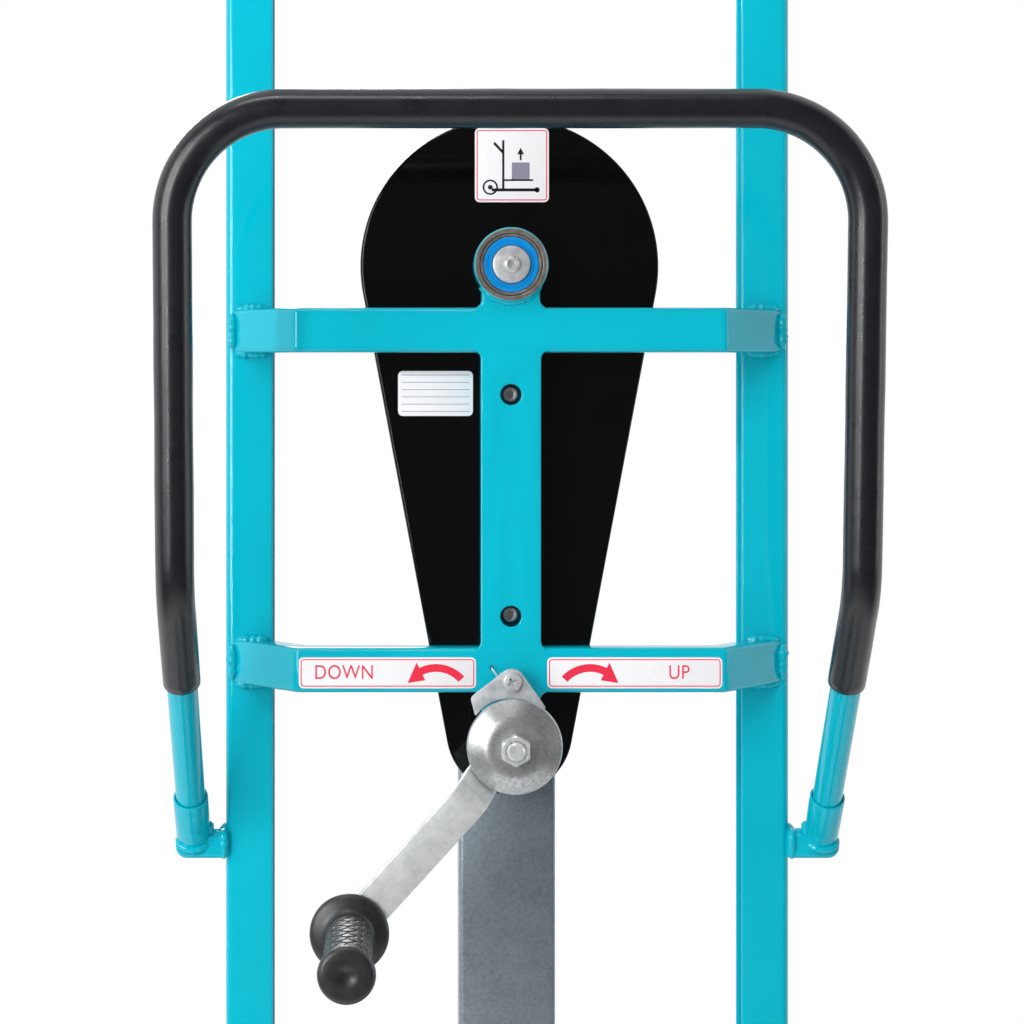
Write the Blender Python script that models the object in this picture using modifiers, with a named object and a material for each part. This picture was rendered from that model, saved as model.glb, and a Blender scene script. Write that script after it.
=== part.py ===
"""Hand-winch material lift: a two-post mast on wheels, a carriage with a platform, a chain-geared belt winch.

World frame: +X right and +Y away from the operator, +Z up, floor at zero, origin under the middle of the lift.
The winch is laid out from the posts' rear plane. Its frames have x right, y up and z toward the operator.
"""

import math

import bmesh
import bpy
from mathutils import Vector

# Fits
FIT = 0.0003
MERGE = 0.00001

# Flat sides around a wheel, a large, a middle and a small circle
WHEEL_SIDES = 24
LARGE_SIDES = 24
SIDES = 16
SMALL_SIDES = 12
CHAIN_ROLLER_SIDES = 5

# Mast posts, C-rails that open toward each other
MAST_WIDTH = 0.387
MAST_HEIGHT = 1.700
POST_WIDTH = 0.0325
POST_DEPTH = 0.030
POST_WALL = 0.003
POST_CORNER = 0.004
TOP_BAR_HEIGHT = 0.030

# Square tubes of the frame
TUBE_WALL = 0.002
TUBE_CORNER = 0.0035

# Floor legs and front rollers
LEG_HEIGHT = 0.045
LEG_WIDTH = 0.040
LEG_WALL = 0.003
LEG_CORNER = 0.005
LEG_TAIL = 0.050
ROLLER_RADIUS = 0.040
ROLLER_WIDTH = 0.030
ROLLER_REACH = 0.500
ROLLER_PIN_RADIUS = 0.005
ROLLER_CHAMFER = 0.002
ROLLER_DISH = 0.004
ROLLER_RING = 0.008
FORK_NOSE = 0.016
FORK_CLEARANCE = 0.006

# Rear wheels and axle
WHEEL_RADIUS = 0.130
TYRE_WIDTH = 0.075
TYRE_THICKNESS = 0.006
TYRE_SHOULDER = 0.012
RIM_RADIUS = 0.066
RIM_THICKNESS = 0.003
HUB_RADIUS = 0.021
HUB_WIDTH = 0.068
WHEEL_GAP = 0.012
AXLE_RADIUS = 0.010
AXLE_SETBACK = 0.140
AXLE_COLLAR_RADIUS = 0.014
AXLE_CAP_RADIUS = 0.016
AXLE_CAP_THICKNESS = 0.004
BRACKET_THICKNESS = 0.010
BRACKET_EYE_RADIUS = 0.022
BRACKET_HEIGHT = 0.120

# Winch frame of welded tubes behind the posts
FRAME_SETBACK = 0.050
BAR_HEIGHT = 0.030
BAR_DEPTH = 0.020
BAR_OFFSET = 0.0435
BAR_FOOT_INSET = 0.0055
BAR_SPLAY = 0.0445
CENTRE_BAR_WIDTH = 0.040
ACCESS_RADIUS = 0.007
UPPER_SCREW_DROP = 0.043
LOWER_SCREW_RISE = 0.036

# Chain drive
CRANK_HEIGHT = 0.800
CHAIN_PITCH = 0.0127
BIG_TEETH = 36
SMALL_TEETH = 12
CHAIN_LINKS = 74
SPROCKET_THICKNESS = 0.0072
TOOTH_RISE = 0.0034
TOOTH_DROP = 0.0042
LINK_PLATE = 0.0012
LINK_HALF_WIDTH = 0.0042
LINK_WAIST = 0.0031
CHAIN_ROLLER_RADIUS = 0.0034
BIG_HUB_RADIUS = 0.020
BIG_HUB_LENGTH = 0.015
SMALL_HUB_RADIUS = 0.014
SMALL_HUB_LENGTH = 0.012

# Chain case
CASE_BIG_RADIUS = 0.1006
CASE_SMALL_RADIUS = 0.0427
CASE_WALL = 0.0015
CASE_CORNER = 0.003
CASE_DEPTH = 0.0267
PLATE_THICKNESS = 0.004
SPACER_RADIUS = 0.006

# Screws
SCREW_RADIUS = 0.003
SCREW_HEAD_RADIUS = 0.005
SCREW_HEAD_LENGTH = 0.006
SOCKET_RADIUS = 0.0028
SOCKET_DEPTH = 0.0035

# Drum shaft, bearings and housing
SHAFT_RADIUS = 0.010
BEARING_RADIUS = 0.021
BEARING_LENGTH = 0.012
SEAL_OUTER_RADIUS = 0.0185
SEAL_INNER_RADIUS = 0.0135
SEAL_THICKNESS = 0.0009
HOUSING_RADIUS = 0.024
HOUSING_PROUD = 0.005
HOUSING_SHOULDER = 0.016
HOUSING_FOOT_WIDTH = 0.034
WASHER_RADIUS = 0.0125
WASHER_THICKNESS = 0.002
END_BOLT_HEAD_RADIUS = 0.0055
END_BOLT_LENGTH = 0.016
FLANGE_RADIUS = 0.028
FLANGE_THICKNESS = 0.003
FLANGE_HUB_RADIUS = 0.019
FLANGE_HUB_LENGTH = 0.004

# Belt, drum and guard
BELT_WIDTH = 0.024
BELT_THICKNESS = 0.0018
BELT_SIDE_GAP = 0.0005
DRUM_CORE_RADIUS = 0.020
WOUND_TURNS = 2
DRUM_FLANGE_RADIUS = 0.038
DRUM_FLANGE_THICKNESS = 0.002
GUARD_WIDTH = 0.066
GUARD_WALL = 0.002
GUARD_TOP_GAP = 0.020

# Carriage
CARRIAGE_PLATE = 0.008
CARRIAGE_HEIGHT = 0.480
CARRIAGE_SIDE_GAP = 0.005
CARRIAGE_BACK_GAP = 0.003
BEAM_HEIGHT = 0.040
BEAM_DEPTH = 0.020
BEAM_CLEARANCE = 0.004
GUIDE_ROLLER_WIDTH = 0.018
GUIDE_ROLLER_INSET = 0.050
GUIDE_PIN_RADIUS = 0.005
GUIDE_HEAD_RADIUS = 0.007
GUIDE_HEAD_LENGTH = 0.002
CLAMP_HEIGHT = 0.050
CLAMP_WALL = 0.003
ARM_WIDTH = 0.025
ARM_HEIGHT = 0.040
ARM_LIFT = 0.012
DECK_WIDTH = 0.400
DECK_REACH = 0.525
DECK_THICKNESS = 0.003
DECK_LIP = 0.025
DECK_CORNER = 0.005
DECK_BACK_GAP = 0.004

# Push handle
SOCKET_OFFSET = 0.0221
HANDLE_RADIUS = 0.010
HANDLE_WALL = 0.002
SLEEVE_RADIUS = 0.0122
HANDLE_TOP = 1.205
HANDLE_TOP_SETBACK = 0.168
HANDLE_CORNER = 0.070
KNEE_HEIGHT = 0.905
KNEE_SETBACK = 0.143
KNEE_CORNER = 0.060
HANDLE_LEAN = 38.7
SOCKET_RIM_HEIGHT = 0.755
SOCKET_LENGTH = 0.0481
SOCKET_WALL = 0.0015
SOCKET_FLOOR = 0.006
BARE_TUBE_HEIGHT = 0.086
STUB_HEIGHT = 0.018
STUB_DEPTH = 0.024
STUB_OVERHANG = 0.012
STUB_CORNER = 0.008

# Crank with its brake
CRANK_SHAFT_RADIUS = 0.008
CRANK_THREAD_RADIUS = 0.006
CRANK_HOUSING_RADIUS = 0.024
CRANK_HOUSING_PROUD = 0.003
BRAKE_FLANGE_RADIUS = 0.022
BRAKE_FLANGE_THICKNESS = 0.004
RATCHET_TEETH = 14
RATCHET_RADIUS = 0.023
RATCHET_ROOT_RADIUS = 0.0197
RATCHET_THICKNESS = 0.006
CRANK_RADIUS = 0.158
CRANK_ANGLE = 227.6
ARM_BAR_WIDTH = 0.024
ARM_BAR_THICKNESS = 0.006
ARM_STANDOFF = 0.020
ARM_JOGGLE = 0.022
JOGGLE_START = 0.0295
JOGGLE_RUN = 0.013
CRANK_HUB_RADIUS = 0.014
CRANK_NECK_RADIUS = 0.010
CRANK_NECK_LENGTH = 0.014
COVER_RADIUS = 0.031
COVER_FLAT_RADIUS = 0.0185
COVER_DISH = 0.007
COVER_RIM = 0.003
COVER_THICKNESS = 0.0018
NUT_ACROSS_FLATS = 0.018
NUT_HEIGHT = 0.010
SHAFT_END_PROUD = 0.003
SPINDLE_RADIUS = 0.005
GRIP_LENGTH = 0.112
GRIP_FLANGE_RADIUS = 0.0255
GRIP_FLANGE_THICKNESS = 0.006
GRIP_RADIUS = 0.0145
GRIP_END_RADIUS = 0.0177
GRIP_END_LENGTH = 0.008
GRIP_WALL = 0.003

# Pawl
PAWL_RISE = 0.0375
PAWL_THICKNESS = 0.004
PAWL_HUB_RADIUS = 0.0085
PAWL_RELIEF_RADIUS = 0.0264
PAWL_RELIEF_SHIFT = 0.0024
PAWL_CORNER_X = 0.0224
PAWL_CORNER_DROP = 0.017
PAWL_TAIL_X = 0.0275
PAWL_TAIL_DROP = 0.0105
PAWL_HEAD_RADIUS = 0.006
PAWL_HEAD_LENGTH = 0.004
PAWL_COLLAR_RADIUS = 0.005
SPRING_WIRE_RADIUS = 0.0006
SPRING_RADIUS = 0.007
SPRING_TURNS = 2
SPRING_HOLE_X = -0.0128
SPRING_HOLE_RISE = 0.0055

# Places that follow from the sizes above
POST_OUTER_X = MAST_WIDTH / 2
POST_INNER_X = POST_OUTER_X - POST_WIDTH
POST_CENTRE_X = POST_OUTER_X - POST_WIDTH / 2
LEG_TOP = ROLLER_RADIUS + LEG_HEIGHT / 2
LEG_BOTTOM = ROLLER_RADIUS - LEG_HEIGHT / 2
WHEEL_X = max(POST_OUTER_X, POST_CENTRE_X + LEG_WIDTH / 2) + WHEEL_GAP + TYRE_WIDTH / 2
REAR_REACH = AXLE_SETBACK + WHEEL_RADIUS
FRONT_REACH = max(ROLLER_REACH + ROLLER_RADIUS, DECK_REACH)
MAST_Y = (REAR_REACH - FRONT_REACH) / 2
BIG_PITCH_RADIUS = CHAIN_PITCH / (2 * math.sin(math.pi / BIG_TEETH))
SMALL_PITCH_RADIUS = CHAIN_PITCH / (2 * math.sin(math.pi / SMALL_TEETH))
SPARE_LINKS = 2 * CHAIN_LINKS - BIG_TEETH - SMALL_TEETH
TOOTH_SPREAD = 8 / math.pi ** 2 * (BIG_TEETH - SMALL_TEETH) ** 2
CENTRE_DISTANCE = CHAIN_PITCH / 8 * (SPARE_LINKS + math.sqrt(SPARE_LINKS ** 2 - TOOTH_SPREAD))
DRUM_HEIGHT = CRANK_HEIGHT + CENTRE_DISTANCE
UPPER_BAR_HEIGHT = DRUM_HEIGHT - BAR_OFFSET
LOWER_BAR_HEIGHT = CRANK_HEIGHT + BAR_OFFSET
FRAME_FRONT = FRAME_SETBACK - BAR_DEPTH
CASE_REAR = FRAME_FRONT - FIT
CASE_FRONT = CASE_REAR - CASE_DEPTH
PLATE_REAR = CASE_FRONT - FIT
PLATE_FRONT = PLATE_REAR - PLATE_THICKNESS
CHAIN_PLANE = (CASE_REAR - CASE_WALL + PLATE_REAR) / 2
GUARD_REAR = PLATE_FRONT - FIT
FLANGE_FRONT = PLATE_FRONT - FIT - FLANGE_THICKNESS - FLANGE_HUB_LENGTH
DRUM_REAR = FLANGE_FRONT - FIT
BELT_REAR = DRUM_REAR - DRUM_FLANGE_THICKNESS - BELT_SIDE_GAP
BELT_FRONT = BELT_REAR - BELT_WIDTH
DRUM_FRONT = BELT_FRONT - BELT_SIDE_GAP - DRUM_FLANGE_THICKNESS
WOUND_RADIUS = DRUM_CORE_RADIUS + WOUND_TURNS * BELT_THICKNESS
BELT_INNER_X = WOUND_RADIUS + FIT
BELT_OUTER_X = BELT_INNER_X + BELT_THICKNESS
BEAM_REAR = BEAM_CLEARANCE - DRUM_FRONT
BEAM_FRONT = BEAM_REAR + BEAM_DEPTH
PLATE_OUTER_X = POST_INNER_X - CARRIAGE_SIDE_GAP
PLATE_INNER_X = PLATE_OUTER_X - CARRIAGE_PLATE
CARRIAGE_BOTTOM = LEG_TOP + FIT
CARRIAGE_TOP = CARRIAGE_BOTTOM + CARRIAGE_HEIGHT
ARM_BOTTOM = CARRIAGE_BOTTOM + ARM_LIFT
ARM_TOP = ARM_BOTTOM + ARM_HEIGHT
GUIDE_ROLLER_RADIUS = POST_DEPTH / 2 - POST_WALL - FIT
HANDLE_X = POST_OUTER_X + SOCKET_OFFSET
SLEEVE_END_HEIGHT = SOCKET_RIM_HEIGHT + BARE_TUBE_HEIGHT
RATCHET_FRONT = FRAME_SETBACK + CRANK_HOUSING_PROUD + BRAKE_FLANGE_THICKNESS + 3 * FIT
RATCHET_REAR = RATCHET_FRONT + RATCHET_THICKNESS
ARM_FRONT = RATCHET_REAR + FIT + ARM_STANDOFF
ARM_REAR = ARM_FRONT + ARM_BAR_THICKNESS
HUB_REAR = ARM_REAR + CRANK_NECK_LENGTH
COVER_FRONT = HUB_REAR + FIT
NUT_FRONT = COVER_FRONT + COVER_THICKNESS + FIT
NUT_REAR = NUT_FRONT + NUT_HEIGHT
GRIP_FRONT = ARM_REAR + ARM_JOGGLE + FIT
PAWL_FRONT = (RATCHET_FRONT + RATCHET_REAR - PAWL_THICKNESS) / 2
PAWL_REAR = PAWL_FRONT + PAWL_THICKNESS

# Finishes: base colour, metallic, roughness
FINISHES = {
    "turquoise_paint": ((0.0, 0.48, 0.62), 0.0, 0.25),
    "black_paint": ((0.01, 0.01, 0.012), 0.0, 0.2),
    "galvanised": ((0.62, 0.65, 0.67), 1.0, 0.4),
    "machined_steel": ((0.55, 0.54, 0.52), 1.0, 0.3),
    "blue_seal": ((0.0, 0.22, 0.65), 0.0, 0.5),
    "black_rubber": ((0.02, 0.02, 0.022), 0.0, 0.7),
    "black_plastic": ((0.03, 0.03, 0.032), 0.0, 0.5),
    "grey_plastic": ((0.35, 0.36, 0.38), 0.0, 0.4),
    "belt_webbing": ((0.05, 0.05, 0.055), 0.0, 0.85),
}

for old in list(bpy.data.objects):
    bpy.data.objects.remove(old)
PARTS = bpy.data.collections.new("material_lift")
CUTTERS = bpy.data.collections.new("cutters")
bpy.context.scene.collection.children.link(PARTS)
bpy.context.scene.collection.children.link(CUTTERS)


def add_frame(name, location, rotation=(0, 0, 0)):
    """An empty that carries pieces: a joint axis, or a local layout frame."""
    frame = bpy.data.objects.new(name, None)
    frame.empty_display_size = 0.03
    frame.location = location
    frame.rotation_euler = rotation
    PARTS.objects.link(frame)
    return frame


def give_material(obj, finish):
    colour, metallic, roughness = FINISHES[finish]
    material = bpy.data.materials.new(obj.name + "_" + finish)
    material.use_nodes = True
    shader = material.node_tree.nodes["Principled BSDF"]
    shader.inputs["Base Color"].default_value = (*colour, 1)
    shader.inputs["Metallic"].default_value = metallic
    shader.inputs["Roughness"].default_value = roughness
    obj.data.materials.append(material)


def place(name, data, frame, finish, location=(0, 0, 0), rotation=(0, 0, 0)):
    """Puts a piece, or with no finish a cutter, in its frame."""
    obj = bpy.data.objects.new(name, data)
    obj.parent = frame
    obj.location = location
    obj.rotation_euler = rotation
    if finish:
        PARTS.objects.link(obj)
        give_material(obj, finish)
    else:
        CUTTERS.objects.link(obj)
        obj.hide_render = True
        obj.display_type = "WIRE"
    return obj


def arc(centre, radius, start, end, steps):
    """Points along an arc, angles in degrees, both ends included."""
    points = []
    for step in range(steps + 1):
        angle = math.radians(start + (end - start) * step / steps)
        points.append((centre[0] + radius * math.cos(angle), centre[1] + radius * math.sin(angle)))
    return points


def circle(centre, radius, steps):
    return arc(centre, radius, 0, 360, steps)[:-1]


def prism(name, loops, low, high, frame, finish, rotation=(0, 0, 0)):
    """A flat outline with its holes, extruded from low to high along the frame's z."""
    curve = bpy.data.curves.new(name, "CURVE")
    curve.dimensions = "2D"
    curve.fill_mode = "BOTH"
    curve.extrude = (high - low) / 2
    for loop in loops:
        spline = curve.splines.new("POLY")
        spline.points.add(len(loop) - 1)
        for point, (x, y) in zip(spline.points, loop):
            point.co = (x, y, 0, 1)
        spline.use_cyclic_u = True
    return place(name, curve, frame, finish, (0, 0, (low + high) / 2), rotation)


def as_mesh(obj):
    """Replaces a curve object by a mesh object with its caps welded on."""
    bpy.context.view_layer.update()
    graph = bpy.context.evaluated_depsgraph_get()
    mesh = bpy.data.meshes.new_from_object(obj.evaluated_get(graph))
    work = bmesh.new()
    work.from_mesh(mesh)
    bmesh.ops.remove_doubles(work, verts=work.verts, dist=MERGE)
    bmesh.ops.recalc_face_normals(work, faces=work.faces)
    work.to_mesh(mesh)
    work.free()
    name = obj.name
    parent = obj.parent
    world = obj.matrix_world.copy()
    home = obj.users_collection[0]
    hidden = obj.hide_render
    bpy.data.objects.remove(obj)
    solid = bpy.data.objects.new(name, mesh)
    home.objects.link(solid)
    solid.parent = parent
    solid.matrix_world = world
    solid.hide_render = hidden
    solid.display_type = "WIRE" if hidden else "TEXTURED"
    return solid


def turned(name, profile, frame, finish, steps=SIDES, ring=False, location=(0, 0, 0), rotation=(0, 0, 0)):
    """A profile of (radius, height) turned about the frame's z, its outer side running down."""
    mesh = bpy.data.meshes.new(name)
    edges = [(i, i + 1) for i in range(len(profile) - 1)]
    if ring:
        edges.append((len(profile) - 1, 0))
    mesh.from_pydata([(radius, 0, height) for radius, height in profile], edges, [])
    obj = place(name, mesh, frame, finish, location, rotation)
    screw = obj.modifiers.new("turn", "SCREW")
    screw.steps = steps
    screw.render_steps = steps
    screw.use_merge_vertices = True
    screw.merge_threshold = MERGE
    screw.use_smooth_shade = False
    return obj


def rod(name, radius, low, high, frame, finish, steps=SIDES, location=(0, 0, 0), rotation=(0, 0, 0)):
    profile = [(0, high), (radius, high), (radius, low), (0, low)]
    return turned(name, profile, frame, finish, steps, False, location, rotation)


def tube_ring(name, outer, inner, low, high, frame, finish, steps=SIDES):
    profile = [(outer, high), (outer, low), (inner, low), (inner, high)]
    return turned(name, profile, frame, finish, steps, True)


def box_mesh(name, low, high, open_sides=()):
    """A box between two corners, without the faces whose normals are in open_sides."""
    mesh = bpy.data.meshes.new(name)
    work = bmesh.new()
    bmesh.ops.create_cube(work, size=1)
    span = [top - bottom for bottom, top in zip(low, high)]
    middle = [(top + bottom) / 2 for bottom, top in zip(low, high)]
    bmesh.ops.scale(work, vec=span, verts=work.verts)
    bmesh.ops.translate(work, vec=middle, verts=work.verts)
    work.normal_update()
    doomed = [
        face for face in work.faces if any(face.normal.dot(Vector(side)) > 0.9 for side in open_sides)
    ]
    bmesh.ops.delete(work, geom=doomed, context="FACES")
    work.to_mesh(mesh)
    work.free()
    return mesh


def box(name, low, high, frame, finish):
    return place(name, box_mesh(name, low, high), frame, finish)


def round_edges(obj, radius, segments=2):
    bevel = obj.modifiers.new("edges", "BEVEL")
    bevel.width = radius
    bevel.segments = segments
    bevel.limit_method = "ANGLE"
    return bevel


def thicken(obj, wall):
    shell = obj.modifiers.new("wall", "SOLIDIFY")
    shell.thickness = wall
    shell.offset = -1
    shell.use_even_offset = True
    return shell


def square_tube(name, low, high, open_sides, frame, finish, wall=TUBE_WALL, corner=TUBE_CORNER):
    """A rounded tube or folded tray: an open box surface with its wall inside."""
    obj = place(name, box_mesh(name, low, high, open_sides), frame, finish)
    round_edges(obj, corner)
    thicken(obj, wall)
    return obj


def boolean(obj, tool, operation):
    step = obj.modifiers.new(operation.lower() + "_" + tool.name, "BOOLEAN")
    step.operation = operation
    step.object = tool
    return step


def cut(obj, tool):
    return boolean(obj, tool, "DIFFERENCE")


def unite(obj, tool):
    return boolean(obj, tool, "UNION")


def teardrop(big, small):
    """Two circles around the chain's two axes, the small one at the origin, joined by their tangents."""
    lean = math.degrees(math.asin((big - small) / CENTRE_DISTANCE))
    top = arc((0, CENTRE_DISTANCE), big, -lean, 180 + lean, LARGE_SIDES)
    bottom = arc((0, 0), small, 180 + lean, 360 - lean, SMALL_SIDES)
    return top + bottom


def skin(name, rows, frame, finish):
    """A closed surface over rows of equally many points, its first and last row filled flat."""
    mesh = bpy.data.meshes.new(name)
    work = bmesh.new()
    made = [[work.verts.new(point) for point in row] for row in rows]
    for first, second in zip(made, made[1:]):
        for i, corner in enumerate(first):
            work.faces.new((first[i - 1], corner, second[i], second[i - 1]))
    work.faces.new(made[0])
    work.faces.new(made[-1])
    bmesh.ops.recalc_face_normals(work, faces=work.faces)
    work.to_mesh(mesh)
    work.free()
    return place(name, mesh, frame, finish)


def side_name(side):
    return "left" if side < 0 else "right"


# Frames. The winch frames have x right, y up and z toward the operator, from the posts' rear plane.
TOWARD_OPERATOR = (math.pi / 2, 0, 0)
world = add_frame("lift_frame", (0, MAST_Y, 0))
drum_axis = add_frame("drum_axis", (0, MAST_Y, DRUM_HEIGHT), TOWARD_OPERATOR)
crank_axis = add_frame("crank_axis", (0, MAST_Y, CRANK_HEIGHT), TOWARD_OPERATOR)
pawl_axis = add_frame("pawl_axis", (0, MAST_Y, CRANK_HEIGHT + PAWL_RISE), TOWARD_OPERATOR)
upper_screw_axis = add_frame(
    "upper_screw_axis", (0, MAST_Y, UPPER_BAR_HEIGHT - UPPER_SCREW_DROP), TOWARD_OPERATOR
)
lower_screw_axis = add_frame(
    "lower_screw_axis", (0, MAST_Y, LOWER_BAR_HEIGHT + LOWER_SCREW_RISE), TOWARD_OPERATOR
)
carriage = add_frame("carriage_frame", (0, MAST_Y, 0))


def make_posts():
    """C-rails: the web is outside, the flanges point inward and hold the guide rollers."""
    for side in (-1, 1):
        outline = [(POST_INNER_X, 0)]
        outline += arc((POST_OUTER_X - POST_CORNER, POST_CORNER), POST_CORNER, -90, 0, 3)
        outline += arc((POST_OUTER_X - POST_CORNER, POST_DEPTH - POST_CORNER), POST_CORNER, 0, 90, 3)
        outline += [
            (POST_INNER_X, POST_DEPTH),
            (POST_INNER_X, POST_DEPTH - POST_WALL),
            (POST_OUTER_X - POST_WALL, POST_DEPTH - POST_WALL),
            (POST_OUTER_X - POST_WALL, POST_WALL),
            (POST_INNER_X, POST_WALL),
        ]
        outline = [(side * x, y) for x, y in outline]
        top = MAST_HEIGHT - TOP_BAR_HEIGHT - FIT
        prism(side_name(side) + "_post", [outline], LEG_TOP + FIT, top, world, "turquoise_paint")


def make_cross_members():
    square_tube(
        "top_crossbar",
        (-POST_OUTER_X, 0, MAST_HEIGHT - TOP_BAR_HEIGHT),
        (POST_OUTER_X, POST_DEPTH, MAST_HEIGHT),
        [(-1, 0, 0), (1, 0, 0)],
        world,
        "turquoise_paint",
    )
    reach = POST_CENTRE_X - LEG_WIDTH / 2 - FIT
    square_tube(
        "base_crossbar",
        (-reach, 0, LEG_BOTTOM),
        (reach, POST_DEPTH, LEG_TOP),
        [(-1, 0, 0), (1, 0, 0)],
        world,
        "turquoise_paint",
    )


def make_legs():
    """Each leg is a tube with its cheeks left long as a fork, a welded roller pin and an axle bracket at the back."""
    for side in (-1, 1):
        centre = side * POST_CENTRE_X
        name = side_name(side) + "_leg"
        leg = square_tube(
            name,
            (centre - LEG_WIDTH / 2, -LEG_TAIL, LEG_BOTTOM),
            (centre + LEG_WIDTH / 2, ROLLER_REACH + FORK_NOSE, LEG_TOP),
            [(0, -1, 0), (0, 1, 0)],
            world,
            "turquoise_paint",
            LEG_WALL,
            LEG_CORNER,
        )
        gap = LEG_WIDTH / 2 - LEG_WALL + FIT
        slot = box(
            name + "_slot",
            (centre - gap, ROLLER_REACH - ROLLER_RADIUS - FORK_CLEARANCE, LEG_BOTTOM - LEG_WALL),
            (centre + gap, ROLLER_REACH + FORK_NOSE + LEG_WALL, LEG_TOP + LEG_WALL),
            world,
            None,
        )
        cut(leg, slot)
        pin = rod(
            name + "_pin",
            ROLLER_PIN_RADIUS,
            -LEG_WIDTH / 2 - 0.001,
            LEG_WIDTH / 2 + 0.001,
            world,
            None,
            SMALL_SIDES,
            (centre, ROLLER_REACH, ROLLER_RADIUS),
            (0, math.pi / 2, 0),
        )
        unite(leg, pin)
        eye = (AXLE_SETBACK, WHEEL_RADIUS)
        root = LEG_TOP - LEG_WALL / 2
        outline = [(FIT, root + BRACKET_HEIGHT), (FIT, root), (LEG_TAIL - LEG_CORNER, root)]
        outline += arc(eye, BRACKET_EYE_RADIUS, -60, 80, 7)
        bore = circle(eye, AXLE_RADIUS + FIT, SIDES)
        frame = add_frame(name + "_bracket_frame", (centre, MAST_Y, 0), (math.pi / 2, 0, -math.pi / 2))
        half = BRACKET_THICKNESS / 2
        unite(leg, as_mesh(prism(name + "_bracket", [outline, bore], -half, half, frame, None)))


def make_front_rollers():
    half = ROLLER_WIDTH / 2
    bore = ROLLER_PIN_RADIUS + FIT
    hub = ROLLER_RADIUS / 3
    tread = ROLLER_RADIUS - ROLLER_RING
    web = half - ROLLER_DISH
    for side in (-1, 1):
        axis = add_frame(
            side_name(side) + "_roller_axis",
            (side * POST_CENTRE_X, MAST_Y + ROLLER_REACH, ROLLER_RADIUS),
            (0, math.pi / 2, 0),
        )
        profile = [
            (hub, half),
            (hub, web),
            (tread, web),
            (tread, half),
            (ROLLER_RADIUS, half - ROLLER_CHAMFER),
            (ROLLER_RADIUS, ROLLER_CHAMFER - half),
            (tread, -half),
            (tread, -web),
            (hub, -web),
            (hub, -half),
            (bore, -half),
            (bore, half),
        ]
        turned(side_name(side) + "_front_roller", profile, axis, "grey_plastic", SIDES, True)


def make_axle():
    """One axle through the leg brackets, with collars inside the wheels and caps outside them."""
    collar_start = POST_CENTRE_X + BRACKET_THICKNESS / 2 + FIT
    hub_start = WHEEL_X - HUB_WIDTH / 2 - FIT
    hub_end = WHEEL_X + HUB_WIDTH / 2 + FIT
    axle_end = hub_end + AXLE_CAP_THICKNESS
    half_profile = [
        (0, axle_end),
        (AXLE_CAP_RADIUS, axle_end),
        (AXLE_CAP_RADIUS, hub_end),
        (AXLE_RADIUS, hub_end),
        (AXLE_RADIUS, hub_start),
        (AXLE_COLLAR_RADIUS, hub_start),
        (AXLE_COLLAR_RADIUS, collar_start),
        (AXLE_RADIUS, collar_start),
    ]
    profile = half_profile + [(radius, -height) for radius, height in reversed(half_profile)]
    turned(
        "rear_axle",
        profile,
        world,
        "galvanised",
        SMALL_SIDES,
        False,
        (0, -AXLE_SETBACK, WHEEL_RADIUS),
        (0, math.pi / 2, 0),
    )


def make_wheels():
    """Rear wheels: a hollow tyre seated on a turned rim with a hub."""
    half = TYRE_WIDTH / 2
    seat = half - TYRE_THICKNESS
    shoulder = WHEEL_RADIUS - TYRE_SHOULDER
    hollow = shoulder - TYRE_THICKNESS
    side_wall = [
        (WHEEL_RADIUS, half / 2),
        (shoulder, half),
        (RIM_RADIUS + FIT, seat),
        (RIM_RADIUS + FIT, seat - TYRE_THICKNESS),
        (hollow, seat - TYRE_THICKNESS),
    ]
    tyre_profile = [(radius, -height) for radius, height in side_wall]
    tyre_profile = tyre_profile + side_wall[::-1]
    bore = AXLE_RADIUS + FIT
    hub = HUB_WIDTH / 2
    lip = half + RIM_THICKNESS / 2
    rim_profile = [
        (RIM_RADIUS, lip),
        (RIM_RADIUS, -lip),
        (RIM_RADIUS - RIM_THICKNESS, -lip),
        (RIM_RADIUS - RIM_THICKNESS, -RIM_THICKNESS),
        (HUB_RADIUS, -RIM_THICKNESS),
        (HUB_RADIUS, -hub),
        (bore, -hub),
        (bore, hub),
        (HUB_RADIUS, hub),
        (HUB_RADIUS, RIM_THICKNESS),
        (RIM_RADIUS - RIM_THICKNESS, RIM_THICKNESS),
        (RIM_RADIUS - RIM_THICKNESS, lip),
    ]
    for side in (-1, 1):
        axis = add_frame(
            side_name(side) + "_wheel_axis",
            (side * WHEEL_X, MAST_Y - AXLE_SETBACK, WHEEL_RADIUS),
            (0, math.pi / 2, 0),
        )
        turned(side_name(side) + "_tyre", tyre_profile, axis, "black_rubber", WHEEL_SIDES, True)
        turned(side_name(side) + "_rim", rim_profile, axis, "galvanised", WHEEL_SIDES, True)


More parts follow.
